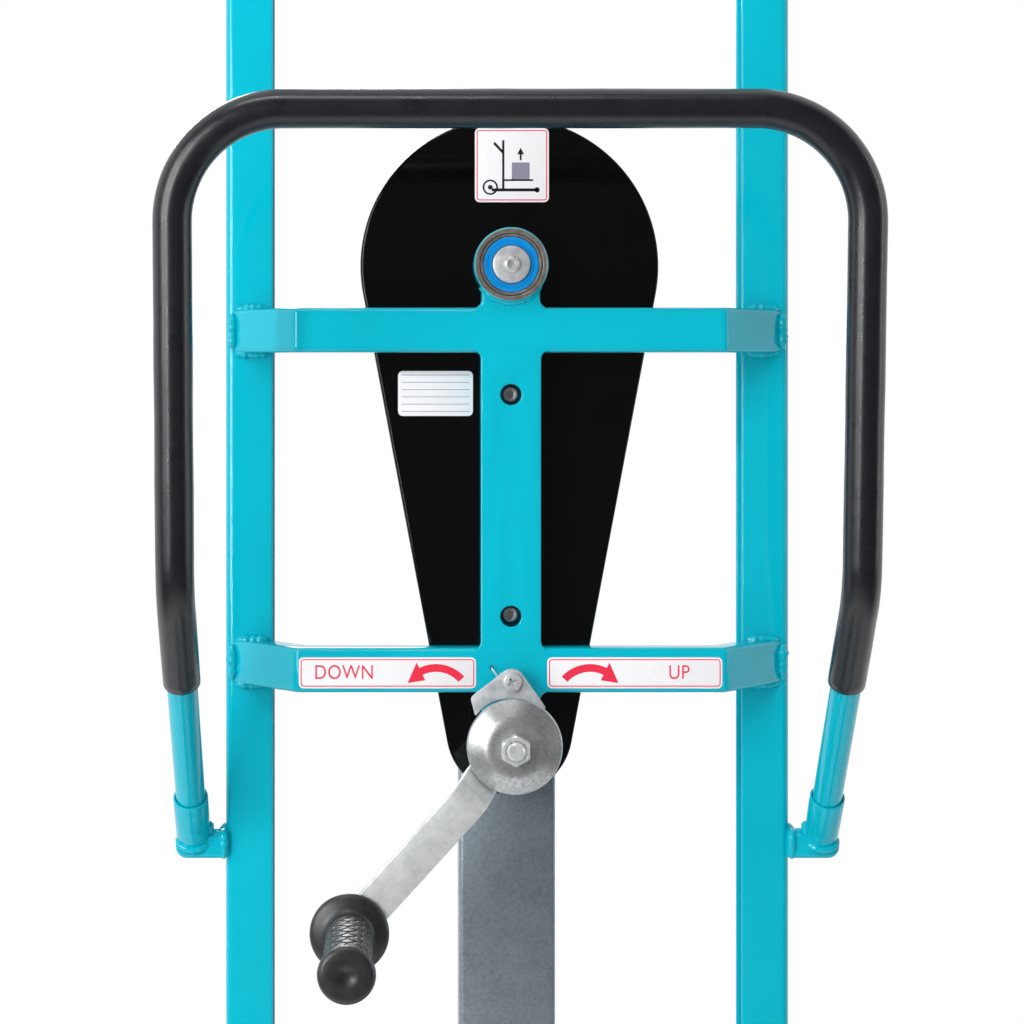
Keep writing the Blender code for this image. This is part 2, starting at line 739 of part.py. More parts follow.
def make_bent_bar(name, height):
    """A crossbar in one piece with the arms that reach forward to the posts' rear faces."""
    foot = POST_OUTER_X - BAR_FOOT_INSET
    corner = foot - BAR_SPLAY
    run = Vector((foot - corner, -FRAME_SETBACK)).normalized()
    inward = Vector((run.y, -run.x))
    start = Vector((corner, FRAME_SETBACK)) + inward * BAR_DEPTH
    elbow = start + run * ((start.y - FRAME_FRONT) / -run.y)
    toe = start + run * ((start.y - FIT) / -run.y)
    spare = run * TUBE_WALL * 4
    half = [(elbow.x, FRAME_FRONT), toe + spare, Vector((foot, FIT)) + spare, (corner, FRAME_SETBACK)]
    outline = list(half) + [(-x, setback) for x, setback in reversed(half)]
    outline = [(x, -setback) for x, setback in outline]
    low = height - BAR_HEIGHT / 2
    bar = as_mesh(prism(name, [outline], low, low + BAR_HEIGHT, world, "turquoise_paint"))
    work = bmesh.new()
    work.from_mesh(bar.data)
    work.normal_update()
    ends = [
        face
        for face in work.faces
        if abs(face.normal.z) < 0.1 and face.calc_center_median().y > -FIT
    ]
    bmesh.ops.delete(work, geom=ends, context="FACES")
    work.to_mesh(bar.data)
    work.free()
    round_edges(bar, TUBE_CORNER)
    thicken(bar, TUBE_WALL)
    trim = box(
        name + "_trim",
        (-POST_OUTER_X, -FIT, low - TUBE_WALL),
        (POST_OUTER_X, POST_DEPTH, low + BAR_HEIGHT + TUBE_WALL),
        world,
        None,
    )
    cut(bar, trim)
    return bar


def make_winch_frame():
    """Two bent crossbars, the centre bar with its access holes, and the housings welded to them."""
    make_bent_bar("upper_crossbar", UPPER_BAR_HEIGHT)
    lower = make_bent_bar("lower_crossbar", LOWER_BAR_HEIGHT)
    inside = FRAME_SETBACK - BAR_DEPTH / 2
    outside = FRAME_SETBACK + TUBE_WALL
    cut(lower, rod("pawl_screw_hole", SCREW_RADIUS + FIT, inside, outside, pawl_axis, None, SMALL_SIDES))
    hole_radius = SPRING_WIRE_RADIUS + FIT
    place_of_hole = (SPRING_HOLE_X, SPRING_HOLE_RISE, 0)
    cut(lower, rod("spring_hole", hole_radius, inside, outside, pawl_axis, None, SMALL_SIDES, place_of_hole))

    half = CENTRE_BAR_WIDTH / 2
    centre_bar = square_tube(
        "centre_bar",
        (-half, -FRAME_SETBACK, LOWER_BAR_HEIGHT + BAR_HEIGHT / 2 + FIT),
        (half, -FRAME_FRONT, UPPER_BAR_HEIGHT - BAR_HEIGHT / 2 - FIT),
        [(0, 0, -1), (0, 0, 1)],
        world,
        "turquoise_paint",
    )
    for where, axis in (("upper", upper_screw_axis), ("lower", lower_screw_axis)):
        stepped = [
            (0, outside),
            (ACCESS_RADIUS, outside),
            (ACCESS_RADIUS, inside),
            (SCREW_RADIUS + FIT, inside),
            (SCREW_RADIUS + FIT, FRAME_FRONT - TUBE_WALL),
            (0, FRAME_FRONT - TUBE_WALL),
        ]
        cut(centre_bar, turned(where + "_access_cutter", stepped, axis, None, SIDES))


def make_housings():
    """Bearing housings: a round tube with a foot that is welded to the crossbar beside it."""
    front = FRAME_FRONT + FIT
    rear = FRAME_SETBACK + HOUSING_PROUD
    reach = BAR_OFFSET - BAR_HEIGHT / 2 - FIT
    half = HOUSING_FOOT_WIDTH / 2
    upper = rod("upper_bearing_housing", HOUSING_RADIUS, front, rear, drum_axis, "turquoise_paint", LARGE_SIDES)
    foot = box(
        "upper_foot", (-half, -reach, front + 0.001), (half, 0, FRAME_SETBACK - 0.001), drum_axis, None
    )
    unite(upper, foot)
    pocket = rear - BEARING_LENGTH - 2 * FIT
    bore = [
        (0, rear + 0.001),
        (BEARING_RADIUS, rear + 0.001),
        (BEARING_RADIUS, pocket),
        (HOUSING_SHOULDER, pocket),
        (HOUSING_SHOULDER, front - 0.001),
        (0, front - 0.001),
    ]
    cut(upper, turned("upper_housing_bore", bore, drum_axis, None, LARGE_SIDES))

    rear = FRAME_SETBACK + CRANK_HOUSING_PROUD
    half = CENTRE_BAR_WIDTH / 2
    lower = rod(
        "lower_bearing_housing", CRANK_HOUSING_RADIUS, front, rear, crank_axis, "turquoise_paint", LARGE_SIDES
    )
    foot = box(
        "lower_foot", (-half, 0, front + 0.001), (half, reach, FRAME_SETBACK - 0.001), crank_axis, None
    )
    unite(lower, foot)
    bore_radius = CRANK_SHAFT_RADIUS + FIT
    cut(lower, rod("lower_housing_bore", bore_radius, front - 0.001, rear + 0.001, crank_axis, None, SIDES))


def make_bearing():
    """The rear bearing, with a recess that holds the blue seal, and the flanged front bearing."""
    rear = FRAME_SETBACK + HOUSING_PROUD - FIT
    front = rear - BEARING_LENGTH
    outer = BEARING_RADIUS - FIT
    bore = SHAFT_RADIUS + FIT
    floor = rear - SEAL_THICKNESS - FIT
    profile = [
        (outer, rear),
        (outer, front),
        (bore, front),
        (bore, rear),
        (SEAL_INNER_RADIUS - FIT, rear),
        (SEAL_INNER_RADIUS - FIT, floor),
        (SEAL_OUTER_RADIUS + FIT, floor),
        (SEAL_OUTER_RADIUS + FIT, rear),
    ]
    turned("shaft_bearing", profile, drum_axis, "machined_steel", SIDES, True)
    tube_ring(
        "bearing_seal",
        SEAL_OUTER_RADIUS,
        SEAL_INNER_RADIUS,
        rear - SEAL_THICKNESS,
        rear,
        drum_axis,
        "blue_seal",
        SIDES,
    )
    disc_rear = PLATE_FRONT - FIT
    disc_front = disc_rear - FLANGE_THICKNESS
    profile = [
        (FLANGE_HUB_RADIUS - FIT, PLATE_REAR),
        (FLANGE_HUB_RADIUS - FIT, disc_rear),
        (FLANGE_RADIUS, disc_rear),
        (FLANGE_RADIUS, disc_front),
        (FLANGE_HUB_RADIUS, disc_front),
        (FLANGE_HUB_RADIUS, FLANGE_FRONT),
        (bore, FLANGE_FRONT),
        (bore, PLATE_REAR),
    ]
    turned("front_bearing_flange", profile, drum_axis, "machined_steel", SIDES, True)


def make_case():
    """The teardrop cover, open to the front, and the plate that closes it and carries the spacers."""

    def corner(inset):
        radius = CASE_CORNER - inset
        return [
            (CASE_CORNER - along, CASE_REAR - CASE_CORNER + up)
            for along, up in arc((0, 0), radius, 0, 90, 2)
        ]

    rows = corner(CASE_WALL)[::-1]
    rows += [(CASE_WALL, CASE_FRONT), (0, CASE_FRONT)]
    rows += corner(0)
    outlines = [
        [(x, y, height) for x, y in teardrop(CASE_BIG_RADIUS - inset, CASE_SMALL_RADIUS - inset)]
        for inset, height in rows
    ]
    cover = skin("chain_case_cover", outlines, crank_axis, "black_paint")
    low = CASE_REAR - 2 * CASE_WALL
    high = CASE_REAR + CASE_WALL
    cut(cover, rod("shaft_opening", SHAFT_RADIUS + 0.002, low, high, drum_axis, None, SIDES))
    cut(cover, rod("crank_opening", CRANK_SHAFT_RADIUS + 0.002, low, high, crank_axis, None, SIDES))
    screw_hole = SCREW_RADIUS + FIT
    screw_axes = (("upper", upper_screw_axis), ("lower", lower_screw_axis))
    for where, axis in screw_axes:
        cut(cover, rod(where + "_cover_hole", screw_hole, low, high, axis, None, SMALL_SIDES))

    loops = [
        teardrop(CASE_BIG_RADIUS, CASE_SMALL_RADIUS),
        circle((0, CENTRE_DISTANCE), FLANGE_HUB_RADIUS, SIDES),
        circle((0, 0), CRANK_SHAFT_RADIUS + FIT, SIDES),
    ]
    for where, axis in screw_axes:
        height = axis.location.z - CRANK_HEIGHT
        loops.append(circle((0, height), (screw_hole + SPACER_RADIUS) / 2, SMALL_SIDES))
    plate = as_mesh(
        prism("chain_case_plate", loops, PLATE_FRONT, PLATE_REAR, crank_axis, "galvanised")
    )
    for where, axis in screw_axes:
        low = PLATE_FRONT + FIT
        high = CASE_REAR - CASE_WALL - FIT
        spacer = tube_ring(
            where + "_spacer", SPACER_RADIUS, screw_hole, low, high, axis, None, SMALL_SIDES
        )
        spacer.rotation_euler.z = math.pi / SMALL_SIDES
        unite(plate, spacer)

        seat = FRAME_FRONT + TUBE_WALL + FIT
        head = seat + SCREW_HEAD_LENGTH
        profile = [
            (0, head - SOCKET_DEPTH),
            (SOCKET_RADIUS, head - SOCKET_DEPTH),
            (SOCKET_RADIUS, head),
            (SCREW_HEAD_RADIUS, head),
            (SCREW_HEAD_RADIUS, seat),
            (SCREW_RADIUS, seat),
            (SCREW_RADIUS, PLATE_FRONT),
            (0, PLATE_FRONT),
        ]
        turned("case_screw_" + where, profile, axis, "galvanised", SMALL_SIDES)


def tooth_outline(teeth, pitch_radius):
    """A sprocket's edge: rounded seats for the chain rollers between blunt teeth."""
    points = []
    step = 360 / teeth
    for tooth in range(teeth):
        middle = tooth * step
        for radius, offset in (
            (pitch_radius - TOOTH_DROP, -0.16),
            (pitch_radius - TOOTH_DROP, 0.16),
            (pitch_radius + TOOTH_RISE, 0.42),
            (pitch_radius + TOOTH_RISE, 0.58),
        ):
            angle = math.radians(middle + offset * step)
            points.append((radius * math.cos(angle), radius * math.sin(angle)))
    return points


def make_sprockets():
    low = CHAIN_PLANE - SPROCKET_THICKNESS / 2
    high = low + SPROCKET_THICKNESS
    hub_bore = SHAFT_RADIUS + FIT
    loops = [tooth_outline(BIG_TEETH, BIG_PITCH_RADIUS), circle((0, 0), (hub_bore + BIG_HUB_RADIUS) / 2, SIDES)]
    big = as_mesh(prism("large_sprocket", loops, low, high, drum_axis, "machined_steel"))
    hub_low = low - FIT
    hub = tube_ring(
        "large_hub", BIG_HUB_RADIUS, hub_bore, hub_low, hub_low + BIG_HUB_LENGTH, drum_axis, None, SIDES
    )
    unite(big, hub)

    hub_bore = CRANK_SHAFT_RADIUS + FIT
    loops = [
        tooth_outline(SMALL_TEETH, SMALL_PITCH_RADIUS),
        circle((0, 0), (hub_bore + SMALL_HUB_RADIUS) / 2, SIDES),
    ]
    small = as_mesh(prism("small_sprocket", loops, low, high, crank_axis, "machined_steel"))
    hub = tube_ring(
        "small_hub", SMALL_HUB_RADIUS, hub_bore, hub_low, hub_low + SMALL_HUB_LENGTH, crank_axis, None, SIDES
    )
    unite(small, hub)


def chain_point(distance):
    """The place and the outward direction at a distance along the chain's pitch line."""
    lean = math.asin((BIG_PITCH_RADIUS - SMALL_PITCH_RADIUS) / CENTRE_DISTANCE)
    span = math.sqrt(CENTRE_DISTANCE ** 2 - (BIG_PITCH_RADIUS - SMALL_PITCH_RADIUS) ** 2)
    big_wrap = BIG_PITCH_RADIUS * (math.pi + 2 * lean)
    small_wrap = SMALL_PITCH_RADIUS * (math.pi - 2 * lean)
    total = big_wrap + small_wrap + 2 * span
    along = distance % 1 * total
    big_centre = Vector((0, CENTRE_DISTANCE))
    if along < big_wrap:
        angle = -lean + along / BIG_PITCH_RADIUS
        out = Vector((math.cos(angle), math.sin(angle)))
        return big_centre + out * BIG_PITCH_RADIUS, out
    along -= big_wrap
    if along < span:
        angle = math.pi + lean
        out = Vector((math.cos(angle), math.sin(angle)))
        return big_centre + out * BIG_PITCH_RADIUS + Vector((-out.y, out.x)) * along, out
    along -= span
    if along < small_wrap:
        angle = math.pi + lean + along / SMALL_PITCH_RADIUS
        out = Vector((math.cos(angle), math.sin(angle)))
        return out * SMALL_PITCH_RADIUS, out
    along -= small_wrap
    angle = -lean
    out = Vector((math.cos(angle), math.sin(angle)))
    return out * SMALL_PITCH_RADIUS + Vector((-out.y, out.x)) * along, out


def make_chain():
    """Two rows of link plates beside the sprockets, joined by the rollers of the two straight runs."""
    outer = []
    inner = []
    for step in range(2 * CHAIN_LINKS):
        point, out = chain_point(step / (2 * CHAIN_LINKS))
        outer.append(tuple(point + out * (LINK_WAIST if step % 2 else LINK_HALF_WIDTH)))
        if step % 2 == 0:
            inner.append(tuple(point - out * LINK_HALF_WIDTH))
    inside = SPROCKET_THICKNESS / 2 + FIT
    outside = inside + LINK_PLATE
    chain = as_mesh(
        prism(
            "drive_chain",
            [outer, inner],
            CHAIN_PLANE + inside,
            CHAIN_PLANE + outside,
            crank_axis,
            "machined_steel",
        )
    )
    front_row = as_mesh(
        prism(
            "front_link_row",
            [outer, inner],
            CHAIN_PLANE - outside,
            CHAIN_PLANE - inside,
            crank_axis,
            None,
        )
    )
    rollers = bmesh.new()
    big_centre = Vector((0, CENTRE_DISTANCE))
    big_tip = BIG_PITCH_RADIUS + TOOTH_RISE + CHAIN_ROLLER_RADIUS + FIT
    small_tip = SMALL_PITCH_RADIUS + TOOTH_RISE + CHAIN_ROLLER_RADIUS + FIT
    for link in range(0, CHAIN_LINKS, 2):
        point = chain_point(link / CHAIN_LINKS)[0]
        if (point - big_centre).length < big_tip or point.length < small_tip:
            continue
        made = bmesh.ops.create_cone(
            rollers,
            cap_ends=True,
            segments=CHAIN_ROLLER_SIDES,
            radius1=CHAIN_ROLLER_RADIUS,
            radius2=CHAIN_ROLLER_RADIUS,
            depth=2 * inside + LINK_PLATE,
        )
        bmesh.ops.translate(rollers, vec=(point.x, point.y, CHAIN_PLANE), verts=made["verts"])
    mesh = bpy.data.meshes.new("chain_rollers")
    rollers.to_mesh(mesh)
    rollers.free()
    unite(chain, front_row)
    unite(chain, place("chain_rollers", mesh, crank_axis, None))


def make_drum_shaft():
    """The drum shaft with its drum, and the washer and bolt that hold it against the rear bearing."""
    rear = FRAME_SETBACK + HOUSING_PROUD - FIT
    front = DRUM_FRONT
    hole = SCREW_RADIUS + FIT
    depth = rear - END_BOLT_LENGTH - FIT
    profile = [
        (0, depth),
        (hole, depth),
        (hole, rear),
        (SHAFT_RADIUS, rear),
        (SHAFT_RADIUS, front),
        (0, front),
    ]
    turned("drum_shaft", profile, drum_axis, "machined_steel", SIDES)
    washer_front = rear + FIT + 0.0002
    washer_rear = washer_front + WASHER_THICKNESS
    tube_ring(
        "shaft_washer", WASHER_RADIUS, hole, washer_front, washer_rear, drum_axis, "machined_steel", SIDES
    )
    seat = washer_rear + FIT
    head = seat + SCREW_HEAD_LENGTH / 2
    profile = [
        (0, head - SOCKET_DEPTH / 2),
        (SOCKET_RADIUS, head - SOCKET_DEPTH / 2),
        (SOCKET_RADIUS, head),
        (END_BOLT_HEAD_RADIUS - 0.001, head),
        (END_BOLT_HEAD_RADIUS, head - 0.001),
        (END_BOLT_HEAD_RADIUS, seat),
        (SCREW_RADIUS, seat),
        (SCREW_RADIUS, rear - END_BOLT_LENGTH),
        (0, rear - END_BOLT_LENGTH),
    ]
    turned("shaft_bolt", profile, drum_axis, "galvanised", SMALL_SIDES)
    bore = SHAFT_RADIUS + FIT
    thickness = DRUM_FLANGE_THICKNESS
    profile = [
        (DRUM_FLANGE_RADIUS, DRUM_REAR),
        (DRUM_FLANGE_RADIUS, DRUM_REAR - thickness),
        (DRUM_CORE_RADIUS, DRUM_REAR - thickness),
        (DRUM_CORE_RADIUS, DRUM_FRONT + thickness),
        (DRUM_FLANGE_RADIUS, DRUM_FRONT + thickness),
        (DRUM_FLANGE_RADIUS, DRUM_FRONT),
        (bore, DRUM_FRONT),
        (bore, DRUM_REAR),
    ]
    turned("belt_drum", profile, drum_axis, "galvanised", SIDES, True)
    inner = DRUM_CORE_RADIUS + FIT
    tube_ring("belt_winding", WOUND_RADIUS, inner, BELT_FRONT, BELT_REAR, drum_axis, "belt_webbing", SIDES)


def make_belt_and_guard():
    bottom = ARM_BOTTOM + CLAMP_WALL
    box(
        "lift_belt",
        (-BELT_OUTER_X, -BELT_REAR, bottom),
        (-BELT_INNER_X, -BELT_FRONT, DRUM_HEIGHT),
        world,
        "belt_webbing",
    )
    half = GUARD_WIDTH / 2
    outline = [
        (-half, -GUARD_REAR),
        (half, -GUARD_REAR),
        (half, -DRUM_FRONT),
        (half - GUARD_WALL, -DRUM_FRONT),
        (half - GUARD_WALL, GUARD_WALL - GUARD_REAR),
        (GUARD_WALL - half, GUARD_WALL - GUARD_REAR),
        (GUARD_WALL - half, -DRUM_FRONT),
        (-half, -DRUM_FRONT),
    ]
    top = DRUM_HEIGHT - DRUM_FLANGE_RADIUS - GUARD_TOP_GAP
    prism("belt_guard", [outline], LEG_TOP + FIT, top, world, "galvanised")


def make_carriage():
    """Side plates with roller pins, two beams, two arms under a folded deck, and the belt clamp."""
    roller_y = POST_DEPTH / 2
    roller_start = POST_INNER_X + (POST_WIDTH - POST_WALL - GUIDE_ROLLER_WIDTH) / 2
    roller_end = roller_start + GUIDE_ROLLER_WIDTH
    heights = {
        "lower": CARRIAGE_BOTTOM + GUIDE_ROLLER_INSET,
        "upper": CARRIAGE_TOP - GUIDE_ROLLER_INSET,
    }
    for side in (-1, 1):
        name = side_name(side) + "_carriage_plate"
        ends = sorted((side * PLATE_INNER_X, side * PLATE_OUTER_X))
        plate = box(
            name,
            (ends[0], CARRIAGE_BACK_GAP, CARRIAGE_BOTTOM),
            (ends[1], BEAM_FRONT, CARRIAGE_TOP),
            carriage,
            "turquoise_paint",
        )
        for level, height in heights.items():
            head_start = roller_end + FIT
            profile = [
                (0, head_start + GUIDE_HEAD_LENGTH),
                (GUIDE_HEAD_RADIUS, head_start + GUIDE_HEAD_LENGTH),
                (GUIDE_HEAD_RADIUS, head_start),
                (GUIDE_PIN_RADIUS, head_start),
                (GUIDE_PIN_RADIUS, roller_start - FIT),
                (GUIDE_HEAD_RADIUS, roller_start - FIT),
                (GUIDE_HEAD_RADIUS, (PLATE_INNER_X + PLATE_OUTER_X) / 2),
                (0, (PLATE_INNER_X + PLATE_OUTER_X) / 2),
            ]
            turn = (0, side * math.pi / 2, 0)
            pin = turned(
                name + "_" + level + "_pin", profile, carriage, None, SMALL_SIDES, False, (0, roller_y, height), turn
            )
            unite(plate, pin)
            axis = add_frame(
                side_name(side) + "_" + level + "_guide_axis",
                (side * (roller_start + roller_end) / 2, MAST_Y + roller_y, height),
                turn,
            )
            tube_ring(
                side_name(side) + "_" + level + "_guide_roller",
                GUIDE_ROLLER_RADIUS,
                GUIDE_PIN_RADIUS + FIT,
                -GUIDE_ROLLER_WIDTH / 2,
                GUIDE_ROLLER_WIDTH / 2,
                axis,
                "black_plastic",
                SIDES,
            )
    reach = PLATE_INNER_X - FIT
    for level, low in (("lower", ARM_BOTTOM), ("upper", CARRIAGE_TOP - BEAM_HEIGHT)):
        square_tube(
            level + "_carriage_beam",
            (-reach, BEAM_REAR, low),
            (reach, BEAM_FRONT, low + BEAM_HEIGHT),
            [(-1, 0, 0), (1, 0, 0)],
            carriage,
            "turquoise_paint",
        )
    for side in (-1, 1):
        ends = sorted((side * reach, side * (reach - ARM_WIDTH)))
        square_tube(
            side_name(side) + "_platform_arm",
            (ends[0], BEAM_FRONT + FIT, ARM_BOTTOM),
            (ends[1], DECK_REACH - DECK_CORNER - FIT, ARM_TOP),
            [(0, -1, 0), (0, 1, 0)],
            carriage,
            "turquoise_paint",
        )
    square_tube(
        "platform_deck",
        (-DECK_WIDTH / 2, BEAM_FRONT + DECK_BACK_GAP, ARM_TOP + FIT + DECK_THICKNESS - DECK_LIP),
        (DECK_WIDTH / 2, DECK_REACH, ARM_TOP + FIT + DECK_THICKNESS),
        [(0, -1, 0), (0, 0, -1)],
        carriage,
        "turquoise_paint",
        DECK_THICKNESS,
        DECK_CORNER,
    )
    clamp = box(
        "belt_clamp",
        (-BELT_OUTER_X - CLAMP_WALL, -BELT_REAR - CLAMP_WALL, ARM_BOTTOM),
        (-BELT_INNER_X + CLAMP_WALL, BEAM_REAR - FIT, ARM_BOTTOM + CLAMP_HEIGHT),
        carriage,
        "galvanised",
    )
    slot = box(
        "belt_clamp_slot",
        (-BELT_OUTER_X - FIT, -BELT_REAR - FIT, ARM_BOTTOM + CLAMP_WALL - FIT),
        (-BELT_INNER_X + FIT, -BELT_FRONT + FIT, ARM_BOTTOM + CLAMP_HEIGHT + CLAMP_WALL),
        carriage,
        None,
    )
    cut(clamp, slot)


def rounded_path(corners, radii, steps):
    """A path of straight runs with an arc at each inner corner."""
    path = [corners[0]]
    for before, corner, after, radius in zip(corners, corners[1:], corners[2:], radii):
        back = (before - corner).normalized()
        ahead = (after - corner).normalized()
        half = back.angle(ahead) / 2
        centre = corner + (back + ahead).normalized() * radius / math.sin(half)
        first = corner + back * radius / math.tan(half) - centre
        last = corner + ahead * radius / math.tan(half) - centre
        sweep = first.angle(last)
        for step in range(steps + 1):
            share = step / steps
            spoke = first * math.sin((1 - share) * sweep) + last * math.sin(share * sweep)
            path.append(centre + spoke / math.sin(sweep))
    path.append(corners[-1])
    return path


def bent_tube(name, path, radius, wall, finish):
    """An open-ended round tube along a path in the frame of the mast."""
    curve = bpy.data.curves.new(name, "CURVE")
    curve.dimensions = "3D"
    curve.bevel_depth = radius
    curve.bevel_resolution = 2
    curve.use_fill_caps = False
    spline = curve.splines.new("POLY")
    spline.points.add(len(path) - 1)
    for point, place_of_point in zip(spline.points, path):
        point.co = (*place_of_point, 1)
    obj = place(name, curve, world, finish)
    thicken(obj, wall)
    return obj


def handle_line(height):
    """The place of the left leg's axis on its lower, leaning run."""
    setback = KNEE_SETBACK - (KNEE_HEIGHT - height) * math.tan(math.radians(HANDLE_LEAN))
    return Vector((-HANDLE_X, -setback, height))


def make_handle():
    """The U-handle with its sleeve, seated in sockets that are welded to the posts by short stubs."""
    lean = math.radians(HANDLE_LEAN)
    drop = (SOCKET_LENGTH - SOCKET_FLOOR - FIT) * math.cos(lean)
    knee = Vector((-HANDLE_X, -KNEE_SETBACK, KNEE_HEIGHT))
    top = Vector((-HANDLE_X, -HANDLE_TOP_SETBACK, HANDLE_TOP))
    flip = Vector((-1, 1, 1))
    radii = (KNEE_CORNER, HANDLE_CORNER, HANDLE_CORNER, KNEE_CORNER)
    for name, height, radius, wall, finish in (
        ("handle_tube", SOCKET_RIM_HEIGHT - drop, HANDLE_RADIUS, HANDLE_WALL, "turquoise_paint"),
        ("handle_sleeve", SLEEVE_END_HEIGHT, SLEEVE_RADIUS, SLEEVE_RADIUS - HANDLE_RADIUS - FIT, "black_rubber"),
    ):
        end = handle_line(height)
        corners = [end, knee, top, top * flip, knee * flip, end * flip]
        bent_tube(name, rounded_path(corners, radii, 4), radius, wall, finish)

    rim = handle_line(SOCKET_RIM_HEIGHT)
    outer = HANDLE_RADIUS + FIT + SOCKET_WALL
    foot = SOCKET_RIM_HEIGHT - SOCKET_LENGTH * math.cos(lean)
    foot_setback = -handle_line(foot).y
    for side in (-1, 1):
        name = side_name(side) + "_handle_bracket"
        ends = sorted((side * (POST_OUTER_X + FIT), side * (HANDLE_X + STUB_OVERHANG)))
        low = foot - STUB_HEIGHT / 2
        stub = box(
            name,
            (ends[0], -foot_setback - STUB_DEPTH / 2, low),
            (ends[1], -foot_setback + STUB_DEPTH / 2, low + STUB_HEIGHT),
            world,
            "turquoise_paint",
        )
        round_edges(stub, STUB_CORNER / 2)
        axis = add_frame(name + "_axis", (side * HANDLE_X, MAST_Y + rim.y, rim.z), (lean, 0, 0))
        unite(stub, rod(name + "_socket", outer, -SOCKET_LENGTH, 0, axis, None, SIDES))
        bore = HANDLE_RADIUS + FIT
        cut(stub, rod(name + "_bore", bore, SOCKET_FLOOR - SOCKET_LENGTH, 0.001, axis, None, SIDES))


def make_crank_shaft():
    """The crank shaft with its brake flange, and the ratchet wheel on it."""
    end = NUT_REAR + SHAFT_END_PROUD
    flange_front = FRAME_SETBACK + CRANK_HOUSING_PROUD + FIT
    flange_rear = flange_front + BRAKE_FLANGE_THICKNESS
    profile = [
        (0, end),
        (CRANK_THREAD_RADIUS - 0.001, end),
        (CRANK_THREAD_RADIUS, end - 0.001),
        (CRANK_THREAD_RADIUS, flange_rear),
        (BRAKE_FLANGE_RADIUS, flange_rear),
        (BRAKE_FLANGE_RADIUS, flange_front),
        (CRANK_SHAFT_RADIUS, flange_front),
        (CRANK_SHAFT_RADIUS, PLATE_FRONT),
        (0, PLATE_FRONT),
    ]
    turned("crank_shaft", profile, crank_axis, "machined_steel", SIDES)
    outline = []
    step = 360 / RATCHET_TEETH
    for tooth in range(RATCHET_TEETH):
        for radius, offset in ((RATCHET_ROOT_RADIUS, 0), (RATCHET_RADIUS, 0.85), (RATCHET_RADIUS, 0.95)):
            angle = math.radians((tooth + offset) * step)
            outline.append((radius * math.cos(angle), radius * math.sin(angle)))
    bore = circle((0, 0), CRANK_THREAD_RADIUS + FIT, SIDES)
    prism("ratchet_wheel", [outline, bore], RATCHET_FRONT, RATCHET_REAR, crank_axis, "galvanised")


def make_crank_arm():
    """The hub, the joggled flat bar and the riveted spindle, all in a frame turned to the crank's angle."""
    frame = add_frame("crank_arm_frame", (0, 0, 0), (0, 0, math.radians(CRANK_ANGLE)))
    frame.parent = crank_axis
    half = ARM_BAR_WIDTH / 2
    lift = ARM_JOGGLE
    start = JOGGLE_START
    stop = start + JOGGLE_RUN
    chamfer = ARM_BAR_THICKNESS * math.tan(math.atan(lift / JOGGLE_RUN) / 2)
    front_edge = [
        (-half - FIT, ARM_FRONT),
        (start + chamfer, ARM_FRONT),
        (stop + chamfer, ARM_FRONT + lift),
        (CRANK_RADIUS + half + FIT, ARM_FRONT + lift),
    ]
    rear_edge = [
        (CRANK_RADIUS + half + FIT, ARM_REAR + lift),
        (stop, ARM_REAR + lift),
        (start, ARM_REAR),
        (-half - FIT, ARM_REAR),
    ]
    side_view = as_mesh(
        prism("crank_arm", [front_edge + rear_edge], -half, half, frame, "galvanised", (math.pi / 2, 0, 0))
    )
    side_view.location = (0, 0, 0)
    slab = arc((0, 0), half, 90, 270, 10) + arc((CRANK_RADIUS, 0), half, -90, 90, 10)
    plan = as_mesh(prism("crank_arm_plan", [slab], ARM_FRONT - FIT, ARM_REAR + lift + FIT, frame, None))
    boolean(side_view, plan, "INTERSECT")
    hub = rod("crank_hub", CRANK_HUB_RADIUS, RATCHET_REAR + FIT, ARM_REAR - 0.002, frame, None, SIDES)
    unite(side_view, hub)
    neck = rod("crank_neck", CRANK_NECK_RADIUS, ARM_FRONT + 0.002, HUB_REAR, frame, None, SIDES)
    unite(side_view, neck)
    bore = CRANK_THREAD_RADIUS + FIT
    cut(side_view, rod("crank_bore", bore, RATCHET_REAR - 0.001, HUB_REAR + 0.001, frame, None, SIDES))
    tip = (CRANK_RADIUS, 0, 0)
    spindle_end = GRIP_FRONT + GRIP_LENGTH - GRIP_WALL - FIT
    spindle = rod(
        "grip_spindle", SPINDLE_RADIUS, ARM_FRONT + lift + 0.002, spindle_end, frame, None, SMALL_SIDES, tip
    )
    unite(side_view, spindle)

    angle = math.radians(CRANK_ANGLE)
    grip_axis = add_frame(
        "grip_axis",
        (CRANK_RADIUS * math.cos(angle), MAST_Y, CRANK_HEIGHT + CRANK_RADIUS * math.sin(angle)),
        TOWARD_OPERATOR,
    )
    end = GRIP_FRONT + GRIP_LENGTH
    floor = end - GRIP_WALL
    bore = SPINDLE_RADIUS + FIT
    barrel = GRIP_FRONT + GRIP_FLANGE_THICKNESS
    profile = [
        (0, end),
        (GRIP_END_RADIUS - 0.002, end),
        (GRIP_END_RADIUS, end - 0.002),
        (GRIP_END_RADIUS, end - GRIP_END_LENGTH + 0.002),
        (GRIP_RADIUS - 0.001, end - GRIP_END_LENGTH),
        (GRIP_RADIUS, (barrel + end) / 2),
        (GRIP_RADIUS - 0.0005, barrel + 0.002),
        (GRIP_RADIUS + 0.004, barrel),
        (GRIP_FLANGE_RADIUS - 0.002, barrel - 0.001),
        (GRIP_FLANGE_RADIUS, barrel - 0.003),
        (GRIP_FLANGE_RADIUS - 0.001, GRIP_FRONT),
        (bore, GRIP_FRONT),
        (bore, floor),
        (0, floor),
    ]
    turned("crank_grip", profile, grip_axis, "black_rubber", SIDES)


